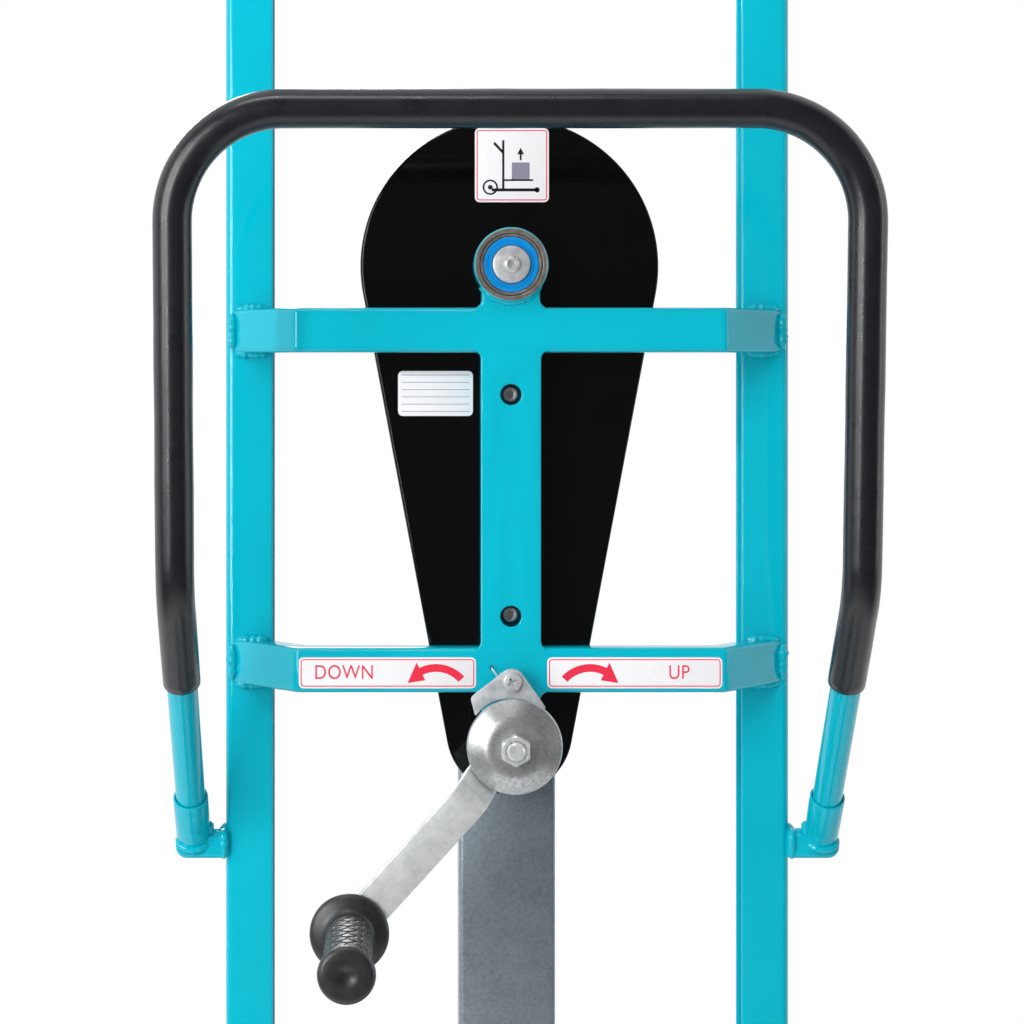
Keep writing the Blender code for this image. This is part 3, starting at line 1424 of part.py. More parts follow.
def make_brake_cover():
    """The dished galvanised cover and the hexagon nut that holds it."""
    bore = CRANK_THREAD_RADIUS + FIT
    rear = COVER_FRONT + COVER_THICKNESS
    lip = COVER_FRONT - COVER_DISH
    profile = [
        (COVER_FLAT_RADIUS, rear),
        (COVER_RADIUS - 0.001, lip + COVER_THICKNESS),
        (COVER_RADIUS, lip + COVER_THICKNESS - 0.001),
        (COVER_RADIUS, lip - COVER_RIM),
        (COVER_RADIUS - COVER_THICKNESS, lip - COVER_RIM),
        (COVER_RADIUS - COVER_THICKNESS, lip),
        (COVER_FLAT_RADIUS, COVER_FRONT),
        (bore, COVER_FRONT),
        (bore, rear),
    ]
    turned("brake_cover", profile, crank_axis, "galvanised", LARGE_SIDES, True)
    corner = NUT_ACROSS_FLATS / math.sqrt(3)
    hexagon = [
        (corner * math.cos(math.radians(angle)), corner * math.sin(math.radians(angle)))
        for angle in range(30, 390, 60)
    ]
    prism("crank_nut", [hexagon, circle((0, 0), bore, SIDES)], NUT_FRONT, NUT_REAR, crank_axis, "galvanised")


def tangent_angle(corner, radius, turn):
    """The angle on a circle about the origin where a line from a corner touches it, in degrees."""
    toward = math.degrees(math.atan2(corner[1], corner[0])) % 360
    return toward + turn * math.degrees(math.acos(radius / math.hypot(*corner)))


def make_pawl():
    """A fan plate: its nose waits just above the ratchet's teeth, its underside clears them as it lifts."""
    centre = (0, -PAWL_RISE)
    nose_radius = RATCHET_RADIUS + FIT
    nose = (PAWL_CORNER_X, -PAWL_CORNER_DROP)
    tail = (-PAWL_TAIL_X, -PAWL_TAIL_DROP)
    outline = arc(
        (0, 0),
        PAWL_HUB_RADIUS,
        tangent_angle(nose, PAWL_HUB_RADIUS, 1) - 360,
        tangent_angle(tail, PAWL_HUB_RADIUS, -1),
        8,
    )
    outline += [tail]
    outline += arc((-PAWL_RELIEF_SHIFT, -PAWL_RISE), PAWL_RELIEF_RADIUS, 146, 50, 8)
    outline += arc(centre, nose_radius, 45, 40, 1)
    outline += [nose]
    hole = circle((0, 0), SCREW_RADIUS + FIT, SMALL_SIDES)
    prism("pawl", [outline, hole], PAWL_FRONT, PAWL_REAR, pawl_axis, "galvanised")

    seat = PAWL_REAR + FIT
    head = seat + PAWL_HEAD_LENGTH
    collar_high = PAWL_FRONT - FIT
    collar_low = FRAME_SETBACK + FIT
    end = FRAME_SETBACK - BAR_DEPTH / 2
    profile = [
        (0, head),
        (PAWL_HEAD_RADIUS * 0.6, head - 0.0005),
        (PAWL_HEAD_RADIUS, seat + 0.0012),
        (PAWL_HEAD_RADIUS, seat),
        (SCREW_RADIUS, seat),
        (SCREW_RADIUS, collar_high),
        (PAWL_COLLAR_RADIUS, collar_high),
        (PAWL_COLLAR_RADIUS, collar_low),
        (SCREW_RADIUS, collar_low),
        (SCREW_RADIUS, end),
        (0, end),
    ]
    turned("pawl_screw", profile, pawl_axis, "galvanised", SMALL_SIDES)

    coil_low = FRAME_SETBACK + FIT + SPRING_WIRE_RADIUS
    coil_high = PAWL_FRONT - FIT - SPRING_WIRE_RADIUS
    points = [
        (SPRING_HOLE_X, SPRING_HOLE_RISE, FRAME_SETBACK - BAR_DEPTH / 4),
        (SPRING_HOLE_X, SPRING_HOLE_RISE, (coil_low + coil_high) / 2),
    ]
    coil = arc((0, 0), SPRING_RADIUS, 120, 180 - 360 * SPRING_TURNS, 8 * SPRING_TURNS)
    for step, (x, y) in enumerate(coil):
        points.append((x, y, coil_low + (coil_high - coil_low) * step / (len(coil) - 1)))
    points.append((-SPRING_RADIUS, 2 * PAWL_HUB_RADIUS - SPRING_RADIUS, coil_high))
    wire = bpy.data.curves.new("pawl_spring", "CURVE")
    wire.dimensions = "3D"
    wire.bevel_depth = SPRING_WIRE_RADIUS
    wire.bevel_resolution = 1
    wire.use_fill_caps = True
    spline = wire.splines.new("POLY")
    spline.points.add(len(points) - 1)
    for point, place_of_point in zip(spline.points, points):
        point.co = (*place_of_point, 1)
    place("pawl_spring", wire, pawl_axis, "galvanised")


make_posts()
make_cross_members()
make_legs()
make_front_rollers()
make_axle()
make_wheels()
make_winch_frame()
make_housings()
make_bearing()
make_case()
make_sprockets()
make_chain()
make_drum_shaft()
make_belt_and_guard()
make_carriage()
make_handle()
make_crank_shaft()
make_crank_arm()
make_brake_cover()
make_pawl()

for piece in PARTS.objects:
    if piece.type == "MESH":
        piece.data.shade_smooth()
        piece.data.set_sharp_from_angle(angle=math.radians(35))
bpy.context.view_layer.update()
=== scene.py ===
import math

import bmesh
import bpy
from mathutils import Matrix, Vector, noise


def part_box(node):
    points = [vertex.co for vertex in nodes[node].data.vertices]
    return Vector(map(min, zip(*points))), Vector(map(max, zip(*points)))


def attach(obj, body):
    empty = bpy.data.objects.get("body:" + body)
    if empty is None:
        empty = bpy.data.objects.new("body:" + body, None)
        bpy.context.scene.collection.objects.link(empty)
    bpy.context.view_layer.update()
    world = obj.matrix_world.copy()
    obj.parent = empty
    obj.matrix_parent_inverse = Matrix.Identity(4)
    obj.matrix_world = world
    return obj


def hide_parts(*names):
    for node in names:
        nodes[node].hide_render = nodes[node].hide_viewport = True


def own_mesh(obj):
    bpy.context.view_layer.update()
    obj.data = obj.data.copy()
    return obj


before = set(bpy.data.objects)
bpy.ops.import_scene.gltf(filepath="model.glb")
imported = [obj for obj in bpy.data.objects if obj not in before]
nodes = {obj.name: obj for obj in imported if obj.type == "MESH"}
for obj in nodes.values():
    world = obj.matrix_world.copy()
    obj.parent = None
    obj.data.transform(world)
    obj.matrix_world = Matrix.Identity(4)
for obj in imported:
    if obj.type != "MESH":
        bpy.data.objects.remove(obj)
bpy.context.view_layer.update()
scene = bpy.context.scene
print("frame loaded:", len(nodes), "nodes")


# places that the CAD gives
def middleOf(node):
    low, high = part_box(node)
    return (low + high) / 2


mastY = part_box("left_post")[0].y  # rear faces of the posts, setbacks count from here toward the operator
crankZ = middleOf("brake_cover").z
drumZ = middleOf("belt_drum").z
upperBarZ = middleOf("upper_crossbar").z
lowerBarZ = middleOf("lower_crossbar").z


def setbacksOf(node):
    # where a node's front and rear lie, counted from mastY toward the operator
    low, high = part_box(node)
    return mastY - high.y, mastY - low.y


def facing(x, z, setback=0, turn=0):
    # local x right, y up, z toward the operator
    place = Matrix.Translation((x, mastY - setback, z)) @ Matrix.Rotation(math.pi / 2, 4, "X")
    return place @ Matrix.Rotation(turn, 4, "Z")


def inPlan(z=0):
    # local x right, y toward the load, z up
    return Matrix.Translation((0, mastY, z))


def alongX(x, y, z):
    # local z runs to the right, local x down
    return Matrix.Translation((x, y, z)) @ Matrix.Rotation(math.pi / 2, 4, "Y")


# materials
def linear(hexColour):
    parts = [int(hexColour[i : i + 2], 16) / 255 for i in (0, 2, 4)]
    return [p / 12.92 if p <= 0.04045 else ((p + 0.055) / 1.055) ** 2.4 for p in parts] + [1.0]


def addNode(tree, kind, settings=None, links=None):
    # a setting that names a socket fills it, any other one is the node's own
    node = tree.nodes.new(kind)
    for key, value in (settings or {}).items():
        if isinstance(key, int) or key in node.inputs:
            node.inputs[key].default_value = value
        else:
            setattr(node, key, value)
    for key, source in (links or {}).items():
        tree.links.new(source, node.inputs[key])
    return node


def newMaterial(name, slotName, settings):
    material = bpy.data.materials.new(name)
    material.use_nodes = True
    material["slotName"] = slotName
    tree = material.node_tree
    shader = tree.nodes["Principled BSDF"]
    for key, value in settings.items():
        shader.inputs[key].default_value = value
    place = addNode(tree, "ShaderNodeTexCoord").outputs["Object"]
    return material, tree, shader, place


def dressShader(tree, shader, links):
    for key, source in links.items():
        tree.links.new(source, shader.inputs[key])


# every size in the looks below is in metres and is about the width of one blotch
noiseMiddle = {"From Min": 0.3, "From Max": 0.7}  # where most of a noise texture's values lie


def powderCoat(name, slotName, look):
    # polyester powder coat, cured: glossy with a faint orange peel, which breaks up the reflections
    settings = {"IOR": 1.5, "Specular IOR Level": look["specular"]}
    material, tree, shader, place = newMaterial(name, slotName, settings)
    scale = {"Scale": 1 / look["toneSize"], "Detail": 3}
    tone = addNode(tree, "ShaderNodeTexNoise", scale, {"Vector": place})
    colours = {"data_type": "RGBA", 6: linear(look["dark"]), 7: linear(look["light"])}
    colour = addNode(tree, "ShaderNodeMix", colours, {0: tone.outputs["Fac"]})
    scale = {"Scale": 1 / look["hazeSize"], "Detail": 4}
    haze = addNode(tree, "ShaderNodeTexNoise", scale, {"Vector": place})
    limits = {**noiseMiddle, "To Min": look["smooth"], "To Max": look["rough"]}
    gloss = addNode(tree, "ShaderNodeMapRange", limits, {"Value": haze.outputs["Fac"]})
    scale = {"Scale": 1 / look["peelSize"], "Detail": 2}
    peel = addNode(tree, "ShaderNodeTexNoise", scale, {"Vector": place})
    depth = {"Distance": look["peelDepth"], "Strength": 0.6}
    bump = addNode(tree, "ShaderNodeBump", depth, {"Height": peel.outputs["Fac"]})
    links = {"Base Color": colour.outputs[2], "Roughness": gloss.outputs[0], "Normal": bump.outputs[0]}
    dressShader(tree, shader, links)
    return material


def zincSheet(name, slotName, look):
    # zinc on steel: crystals give soft patches, rolling and handling give long fine scratches
    material, tree, shader, place = newMaterial(name, slotName, {"Metallic": look["metal"]})
    crystal = addNode(tree, "ShaderNodeTexVoronoi", {"Scale": 1 / look["crystal"]}, {"Vector": place})
    tint = addNode(tree, "ShaderNodeSeparateColor", None, {"Color": crystal.outputs["Color"]})
    cloud = addNode(tree, "ShaderNodeTexNoise", {"Scale": 1 / look["cloud"], "Detail": 4}, {"Vector": place})
    weights = {"operation": "MULTIPLY_ADD", 1: look["crystalShare"]}
    both = addNode(tree, "ShaderNodeMath", weights, {0: tint.outputs[0], 2: cloud.outputs["Fac"]})
    limits = {"From Min": 0.35, "From Max": 0.75 + look["crystalShare"]}  # where most of the sum lies
    share = addNode(tree, "ShaderNodeMapRange", limits, {"Value": both.outputs[0]})
    colours = {"data_type": "RGBA", 6: linear(look["dark"]), 7: linear(look["light"])}
    colour = addNode(tree, "ShaderNodeMix", colours, {0: share.outputs[0]})
    limits = {"To Min": look["rough"], "To Max": look["smooth"]}
    gloss = addNode(tree, "ShaderNodeMapRange", limits, {"Value": share.outputs[0]})
    along = addNode(tree, "ShaderNodeMapping", {"Scale": look["scratchRun"]}, {"Vector": place})
    scale = {"Scale": 1 / look["scratch"], "Detail": 3}
    scratch = addNode(tree, "ShaderNodeTexNoise", scale, {"Vector": along.outputs[0]})
    depth = {"Distance": look["scratchDepth"], "Strength": 0.5}
    lines = addNode(tree, "ShaderNodeBump", depth, {"Height": scratch.outputs["Fac"]})
    fine = addNode(tree, "ShaderNodeTexNoise", {"Scale": 2 / look["scratch"]}, {"Vector": place})
    depth = {"Distance": look["scratchDepth"] / 2, "Strength": 0.5}
    bump = addNode(tree, "ShaderNodeBump", depth, {"Height": fine.outputs["Fac"], "Normal": lines.outputs[0]})
    links = {"Base Color": colour.outputs[2], "Roughness": gloss.outputs[0], "Normal": bump.outputs[0]}
    dressShader(tree, shader, links)
    return material


def mouldedRubber(name, slotName, look):
    # moulded rubber, nylon or foam: a fine skin texture softens its highlight
    settings = {"IOR": 1.5, "Specular IOR Level": look["specular"]}
    material, tree, shader, place = newMaterial(name, slotName, settings)
    cloud = addNode(tree, "ShaderNodeTexNoise", {"Scale": 1 / look["cloud"], "Detail": 3}, {"Vector": place})
    colours = {"data_type": "RGBA", 6: linear(look["dark"]), 7: linear(look["light"])}
    colour = addNode(tree, "ShaderNodeMix", colours, {0: cloud.outputs["Fac"]})
    limits = {**noiseMiddle, "To Min": look["smooth"], "To Max": look["rough"]}
    gloss = addNode(tree, "ShaderNodeMapRange", limits, {"Value": cloud.outputs["Fac"]})
    skin = addNode(tree, "ShaderNodeTexNoise", {"Scale": 1 / look["skin"]}, {"Vector": place})
    depth = {"Distance": look["skinDepth"], "Strength": 0.5}
    bump = addNode(tree, "ShaderNodeBump", depth, {"Height": skin.outputs["Fac"]})
    links = {"Base Color": colour.outputs[2], "Roughness": gloss.outputs[0], "Normal": bump.outputs[0]}
    dressShader(tree, shader, links)
    return material


def printedVinyl(name, slotName, look):
    # printed vinyl sticker: smooth and slightly glossy
    settings = {"Base Color": linear(look["colour"]), "IOR": 1.46, "Specular IOR Level": look["specular"]}
    material, tree, shader, place = newMaterial(name, slotName, settings)
    cloud = addNode(tree, "ShaderNodeTexNoise", {"Scale": 1 / look["cloud"]}, {"Vector": place})
    limits = {**noiseMiddle, "To Min": look["smooth"], "To Max": look["rough"]}
    gloss = addNode(tree, "ShaderNodeMapRange", limits, {"Value": cloud.outputs["Fac"]})
    dressShader(tree, shader, {"Roughness": gloss.outputs[0]})
    return material


def wovenBelt(name, slotName, look):
    # woven polyester: warp and weft ridges, drawn a little coarse so that they show
    settings = {"Roughness": look["rough"], "Sheen Weight": look["sheen"]}
    material, tree, shader, place = newMaterial(name, slotName, settings)
    bandRun = 0.314  # a wave texture's bands repeat at this over its scale
    ridges = []
    for direction in ("Y", "Z"):
        scale = {"Scale": bandRun / look["weave"], "bands_direction": direction}
        ridges.append(addNode(tree, "ShaderNodeTexWave", scale, {"Vector": place}).outputs["Fac"])
    both = addNode(tree, "ShaderNodeMath", {"operation": "MULTIPLY"}, {0: ridges[0], 1: ridges[1]})
    colours = {"data_type": "RGBA", 6: linear(look["dark"]), 7: linear(look["light"])}
    colour = addNode(tree, "ShaderNodeMix", colours, {0: both.outputs[0]})
    bump = addNode(tree, "ShaderNodeBump", {"Distance": look["ridge"]}, {"Height": both.outputs[0]})
    dressShader(tree, shader, {"Base Color": colour.outputs[2], "Normal": bump.outputs[0]})
    return material


# even turquoise whose highlights have soft edges
paintLook = {
    "dark": "00AEC3",
    "light": "00B5CB",
    "toneSize": 0.05,
    "smooth": 0.07,
    "rough": 0.12,
    "hazeSize": 0.02,
    "peelSize": 0.0022,
    "peelDepth": 0.00003,
    "specular": 0.5,
}
# deep black that mirrors the bright strips beside it
blackLook = {
    "dark": "040405",
    "light": "080809",
    "toneSize": 0.03,
    "smooth": 0.05,
    "rough": 0.1,
    "hazeSize": 0.012,
    "peelSize": 0.004,
    "peelDepth": 0.00002,
    "specular": 0.3,
}
# blue-grey zinc, cloudy, with fine scratches along its length
guardLook = {
    "metal": 0.7,
    "dark": "88939C",
    "light": "ADB7C0",
    "crystal": 0.0017,
    "crystalShare": 0.7,
    "cloud": 0.02,
    "smooth": 0.36,
    "rough": 0.5,
    "scratch": 0.0016,
    "scratchRun": (1.0, 1.0, 0.04),
    "scratchDepth": 0.00004,
}
# pale dipped zinc, matt and a little mottled
plateLook = {
    "metal": 0.52,
    "dark": "BCC0C3",
    "light": "ECEEF0",
    "crystal": 0.004,
    "crystalShare": 0.25,
    "cloud": 0.008,
    "smooth": 0.42,
    "rough": 0.6,
    "scratch": 0.0009,
    "scratchRun": (1.0, 1.0, 0.3),
    "scratchDepth": 0.00004,
}
# plated flat bar, the palest zinc, with soft highlights
armLook = {
    "metal": 0.45,
    "dark": "CACDCE",
    "light": "F0F2F2",
    "crystal": 0.003,
    "crystalShare": 0.2,
    "cloud": 0.01,
    "smooth": 0.36,
    "rough": 0.52,
    "scratch": 0.0009,
    "scratchRun": (1.0, 1.0, 0.3),
    "scratchDepth": 0.00003,
}
# pressed sheet, bright and streaked, so its dish shows light and dark sectors
coverLook = {
    "metal": 0.84,
    "dark": "B4B7B7",
    "light": "E4E6E6",
    "crystal": 0.0012,
    "crystalShare": 0.4,
    "cloud": 0.003,
    "smooth": 0.28,
    "rough": 0.4,
    "scratch": 0.0008,
    "scratchRun": (0.4, 1.0, 1.0),
    "scratchDepth": 0.00003,
}
# bright plating on screws and spindles
boltLook = {
    "metal": 0.5,
    "dark": "CCCFD0",
    "light": "F7F8F8",
    "crystal": 0.002,
    "crystalShare": 0.1,
    "cloud": 0.004,
    "smooth": 0.22,
    "rough": 0.36,
    "scratch": 0.0005,
    "scratchRun": (1.0, 1.0, 1.0),
    "scratchDepth": 0.00001,
}
# warm grey bare steel with fine turning marks
turnedLook = {
    "metal": 0.85,
    "dark": "8E8982",
    "light": "C8C1B8",
    "crystal": 0.004,
    "crystalShare": 0.1,
    "cloud": 0.006,
    "smooth": 0.3,
    "rough": 0.44,
    "scratch": 0.0004,
    "scratchRun": (1.0, 0.2, 1.0),
    "scratchDepth": 0.00001,
}
# clear blue rubber, satin
sealLook = {
    "dark": "0086D2",
    "light": "0091DE",
    "cloud": 0.006,
    "smooth": 0.34,
    "rough": 0.44,
    "skin": 0.0006,
    "skinDepth": 0.00002,
    "specular": 0.25,
}
# black foam with a broad, soft sheen
sleeveLook = {
    "dark": "101117",
    "light": "181920",
    "cloud": 0.01,
    "smooth": 0.26,
    "rough": 0.34,
    "skin": 0.0012,
    "skinDepth": 0.00002,
    "specular": 0.75,
}
# hard black rubber, satin where hands polish it
gripLook = {
    "dark": "18181B",
    "light": "242427",
    "cloud": 0.006,
    "smooth": 0.34,
    "rough": 0.46,
    "skin": 0.0007,
    "skinDepth": 0.00003,
    "specular": 0.95,
}
# matt rubber, greyed by dust
tyreLook = {
    "dark": "17181A",
    "light": "242527",
    "cloud": 0.02,
    "smooth": 0.62,
    "rough": 0.8,
    "skin": 0.0015,
    "skinDepth": 0.00008,
    "specular": 0.35,
}
# satin black nylon
nylonLook = {
    "dark": "161618",
    "light": "202023",
    "cloud": 0.01,
    "smooth": 0.4,
    "rough": 0.5,
    "skin": 0.001,
    "skinDepth": 0.00002,
    "specular": 0.45,
}
greyNylonLook = {**nylonLook, "dark": "85888C", "light": "94979B"}
# smooth film with an even, slight gloss
vinylLook = {"cloud": 0.004, "smooth": 0.26, "rough": 0.36, "specular": 0.35}
# dark webbing, dull, with a faint sheen from its fibres
beltLook = {
    "weave": 0.0015,
    "ridge": 0.0003,
    "dark": "1A1B1D",
    "light": "36373A",
    "rough": 0.85,
    "sheen": 0.3,
}

paint = powderCoat("turquoisePowderCoat", "turquoise_paint", paintLook)
blackPaint = powderCoat("blackGlossPaint", "black_paint", blackLook)
guardZinc = zincSheet("galvanisedGuardSheet", "galvanised", guardLook)
plateZinc = zincSheet("galvanisedFlatBar", "galvanised", plateLook)
armZinc = zincSheet("zincPlatedCrankArm", "galvanised", armLook)
coverZinc = zincSheet("pressedZincCover", "galvanised", coverLook)
boltZinc = zincSheet("zincPlatedScrew", "galvanised", boltLook)
turnedSteel = zincSheet("turnedBareSteel", "machined_steel", turnedLook)
blueSeal = mouldedRubber("mouldedBlueSeal", "blue_seal", sealLook)
sleeveFoam = mouldedRubber("softHandleSleeve", "black_rubber", sleeveLook)
gripRubber = mouldedRubber("mouldedGripRubber", "black_rubber", gripLook)
tyreRubber = mouldedRubber("mouldedTyreRubber", "black_tyre", tyreLook)
blackNylon = mouldedRubber("mouldedBlackNylon", "black_plastic", nylonLook)
greyNylon = mouldedRubber("mouldedGreyNylon", "grey_plastic", greyNylonLook)
whiteVinyl = printedVinyl("whiteLabelVinyl", "turquoise_paint", {**vinylLook, "colour": "ECEBEE"})
redInk = printedVinyl("redLabelInk", "turquoise_paint", {**vinylLook, "colour": "E8304A"})
greyInk = printedVinyl("greyLabelInk", "black_paint", {**vinylLook, "colour": "8A8798"})
darkInk = printedVinyl("darkLabelInk", "black_paint", {**vinylLook, "colour": "1C1C20"})
belt = wovenBelt("wovenPolyesterBelt", "belt_webbing", beltLook)
print("materials made:", len(bpy.data.materials))


# shapes
def arcPoints(centre, radius, start, end, steps):
    points = []
    for step in range(steps + 1):
        angle = math.radians(start + (end - start) * step / steps)
        points.append((centre[0] + radius * math.cos(angle), centre[1] + radius * math.sin(angle)))
    return points


def ringPoints(centre, radius, steps, start=0):
    return arcPoints(centre, radius, start, start + 360, steps)[:-1]


nearlyStraight = 3.1  # radians, a flatter corner keeps its point
edgeShare = 0.48  # the most of an edge that one arc takes


def softened(points, radii, steps=4, closed=False):
    # the same path with an arc at each corner
    corners = [Vector(point) for point in points]
    count = len(corners)
    if not isinstance(radii, (list, tuple)):
        radii = [radii] * count
    path = []
    for i, corner in enumerate(corners):
        if not closed and i in (0, count - 1):
            path.append(corner)
            continue
        toBack = corners[i - 1] - corner
        toNext = corners[(i + 1) % count] - corner
        angle = toBack.angle(toNext)
        if radii[i] <= 0 or angle > nearlyStraight:
            path.append(corner)
            continue
        room = (toBack.length * edgeShare, toNext.length * edgeShare)
        reach = min(radii[i] / math.tan(angle / 2), *room)
        radius = reach * math.tan(angle / 2)
        back = toBack.normalized()
        ahead = toNext.normalized()
        centre = corner + (back + ahead).normalized() * radius / math.sin(angle / 2)
        first = corner + back * reach - centre
        last = corner + ahead * reach - centre
        sweep = first.angle(last)
        for step in range(steps + 1):
            share = step / steps
            spoke = first * math.sin((1 - share) * sweep) + last * math.sin(share * sweep)
            path.append(centre + spoke / math.sin(sweep))
    return path


def areaOf(loop):
    # positive where the loop runs anticlockwise
    return sum(a[0] * b[1] - b[0] * a[1] for a, b in zip(loop, loop[1:] + loop[:1])) / 2


def plateMesh(name, loops, low, high, edge=0.0, edgeSteps=2):
    # a flat outline with holes and rounded edges, from low to high along z
    curve = bpy.data.curves.new(name, "CURVE")
    curve.dimensions = "2D"
    curve.fill_mode = "BOTH"
    curve.extrude = (high - low) / 2 - edge
    curve.bevel_depth = edge
    curve.bevel_resolution = edgeSteps
    curve.offset = -edge
    for i, loop in enumerate(loops):
        loop = [tuple(point)[:2] for point in loop]
        if (areaOf(loop) > 0) != (i == 0):
            loop.reverse()
        spline = curve.splines.new("POLY")
        spline.points.add(len(loop) - 1)
        for point, (x, y) in zip(spline.points, loop):
            point.co = (x, y, 0, 1)
        spline.use_cyclic_u = True
    holder = bpy.data.objects.new(name, curve)
    scene.collection.objects.link(holder)
    bpy.context.view_layer.update()
    graph = bpy.context.evaluated_depsgraph_get()
    mesh = bpy.data.meshes.new_from_object(holder.evaluated_get(graph))
    bpy.data.objects.remove(holder)
    work = bmesh.new()
    work.from_mesh(mesh)
    bmesh.ops.remove_doubles(work, verts=work.verts, dist=0.000002)
    bmesh.ops.recalc_face_normals(work, faces=work.faces)
    work.to_mesh(mesh)
    work.free()
    mesh.materials.clear()
    mesh.transform(Matrix.Translation((0, 0, (low + high) / 2)))
    return mesh


def rowsMesh(name, rows, closedRows=True, closedRun=False, capped=False):
    # skin over rows of points, a row of one point is a tip
    work = bmesh.new()
    made = [[work.verts.new(point) for point in row] for row in rows]
    pairs = list(zip(made, made[1:]))
    if closedRun:
        pairs.append((made[-1], made[0]))
    for first, second in pairs:
        count = max(len(first), len(second))
        for i in range(count if closedRows else count - 1):
            j = (i + 1) % count
            corners = [
                first[i % len(first)],
                first[j % len(first)],
                second[j % len(second)],
                second[i % len(second)],
            ]
            unique = list(dict.fromkeys(corners))
            if len(unique) > 2:
                work.faces.new(unique)
    if capped:
        for row in (made[0], made[-1]):
            if len(row) > 2:
                work.faces.new(row)
    bmesh.ops.recalc_face_normals(work, faces=work.faces)
    mesh = bpy.data.meshes.new(name)
    work.to_mesh(mesh)
    work.free()
    return mesh


def turnedMesh(name, profile, sides, closed=False, relief=None):
    # a profile of radius and height turned about z, relief changes the radius at an angle
    rows = []
    for radius, height in profile:
        if radius < 1e-7:  # a point on the axis
            rows.append([(0, 0, height)])
            continue
        row = []
        for side in range(sides):
            angle = 2 * math.pi * side / sides
            r = relief(angle, radius, height) if relief else radius
            row.append((r * math.cos(angle), r * math.sin(angle), height))
        rows.append(row)
    return rowsMesh(name, rows, closedRun=closed)


def sweptMesh(name, path, sectionAt, capped=True, side=None):
    # a section of (across, up) points carried along a path, side fixes the across direction
    path = [Vector(point) for point in path]
    rows = []
    across = None
    for i, point in enumerate(path):
        run = (path[min(i + 1, len(path) - 1)] - path[max(i - 1, 0)]).normalized()
        if side:
            across = Vector(side)
        elif across is None:
            across = run.orthogonal().normalized()
        across = (across - run * across.dot(run)).normalized()
        up = run.cross(across)
        rows.append([point + across * a + up * b for a, b in sectionAt(i)])
    return rowsMesh(name, rows, capped=capped)


sharpAngle = 32  # degrees, a steeper crease stays sharp


def addPiece(name, mesh, material, body, stands=(), place=None, sharpAt=sharpAngle):
    if place:
        mesh.transform(place)
    mesh.materials.append(material)
    mesh.shade_smooth()
    mesh.set_sharp_from_angle(angle=math.radians(sharpAt))
    piece = bpy.data.objects.new(name, mesh)
    scene.collection.objects.link(piece)
    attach(piece, body)
    if stands:
        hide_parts(*stands)
    return piece


bead = {
    "spacing": 0.0012,
    "sides": 12,
    "bluntEnd": 0.35,
    "endRise": 3.2,
    "waveShare": 0.4,
    "waveTurn": 1.7,
    "lumpScale": 260,
    "lumps": 0.22,
}


def weldBead(name, path, radius, seed=0.0, lumps=bead["lumps"]):
    # a row of overlapping weld ripples under the paint
    points = [Vector(point) for point in path]
    dense = []
    for first, second in zip(points, points[1:]):
        count = max(2, int((second - first).length / bead["spacing"]))
        dense += [first.lerp(second, step / count) for step in range(count)]
    dense.append(points[-1])
    total = len(dense) - 1
    angles = [2 * math.pi * k / bead["sides"] for k in range(bead["sides"])]

    def section(i):
        taper = min(1.0, bead["bluntEnd"] + bead["endRise"] * min(i, total - i) / max(total, 1))
        wave = bead["waveShare"] * lumps * math.sin(i * bead["waveTurn"])
        lump = lumps * noise.noise(dense[i] * bead["lumpScale"] + Vector((seed, 0, 0)))
        size = radius * (1 + wave + lump) * taper
        return [(size * math.cos(a), size * math.sin(a)) for a in angles]

    return addPiece(name, sweptMesh(name, dense, section), paint, "chassis", sharpAt=80)


def dressNode(name, material):
    # a CAD node whose shape is right gets its finish
    piece = nodes[name]
    piece.data.materials.clear()
    piece.data.materials.append(material)
    piece.data.shade_smooth()
    piece.data.set_sharp_from_angle(angle=math.radians(sharpAngle))


# mast posts
post = {
    "inner": 0.161,
    "outer": 0.1935,
    "depth": 0.030,
    "wall": 0.003,
    "corner": 0.0055,
    "crease": 0.0015,
    "lip": 0.0013,
    "edge": 0.0003,
}


def makePosts():
    for side, sideName in ((-1, "left"), (1, "right")):
        wall, depth = post["wall"], post["depth"]
        outline = [
            (post["inner"], 0),
            (post["outer"], 0),
            (post["outer"], depth),
            (post["inner"], depth),
            (post["inner"], depth - wall),
            (post["outer"] - wall, depth - wall),
            (post["outer"] - wall, wall),
            (post["inner"], wall),
        ]
        radii = [post["lip"], post["corner"], post["corner"], post["lip"]]
        radii += [post["lip"], post["crease"], post["crease"], post["lip"]]
        outline = [(side * x, y) for x, y in softened(outline, radii, 6, True)]
        low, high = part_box(sideName + "_post")
        mesh = plateMesh(sideName + "PostRail", [outline], low.z, high.z, post["edge"], 1)
        addPiece(sideName + "PostRail", mesh, paint, "chassis", [sideName + "_post"], inPlan())


# welded winch frame
winchFrame = {
    "setback": 0.050,
    "depth": 0.020,
    "height": 0.030,
    "foot": 0.188,
    "corner": 0.1435,
    "edge": 0.0036,
    "bend": 0.007,
    "overlap": 0.0022,
    "barHalf": 0.020,
    "fillet": 0.006,
    "accessHole": 0.007,
    "proud": 0.00005,
    "springHole": (-0.0129, 0.8455),
    "springHoleRadius": 0.0014,
    "drillLevels": (0.0440, 0.0540),
    "elbow": 0.003,
    "weldRadius": 0.0034,
    "weldLumps": 0.32,
    "weldStart": 0.001,
    "weldShort": 0.002,
    "weldPast": 0.0008,
    "weldDrop": 0.003,
    "weldBack": 0.0012,
}


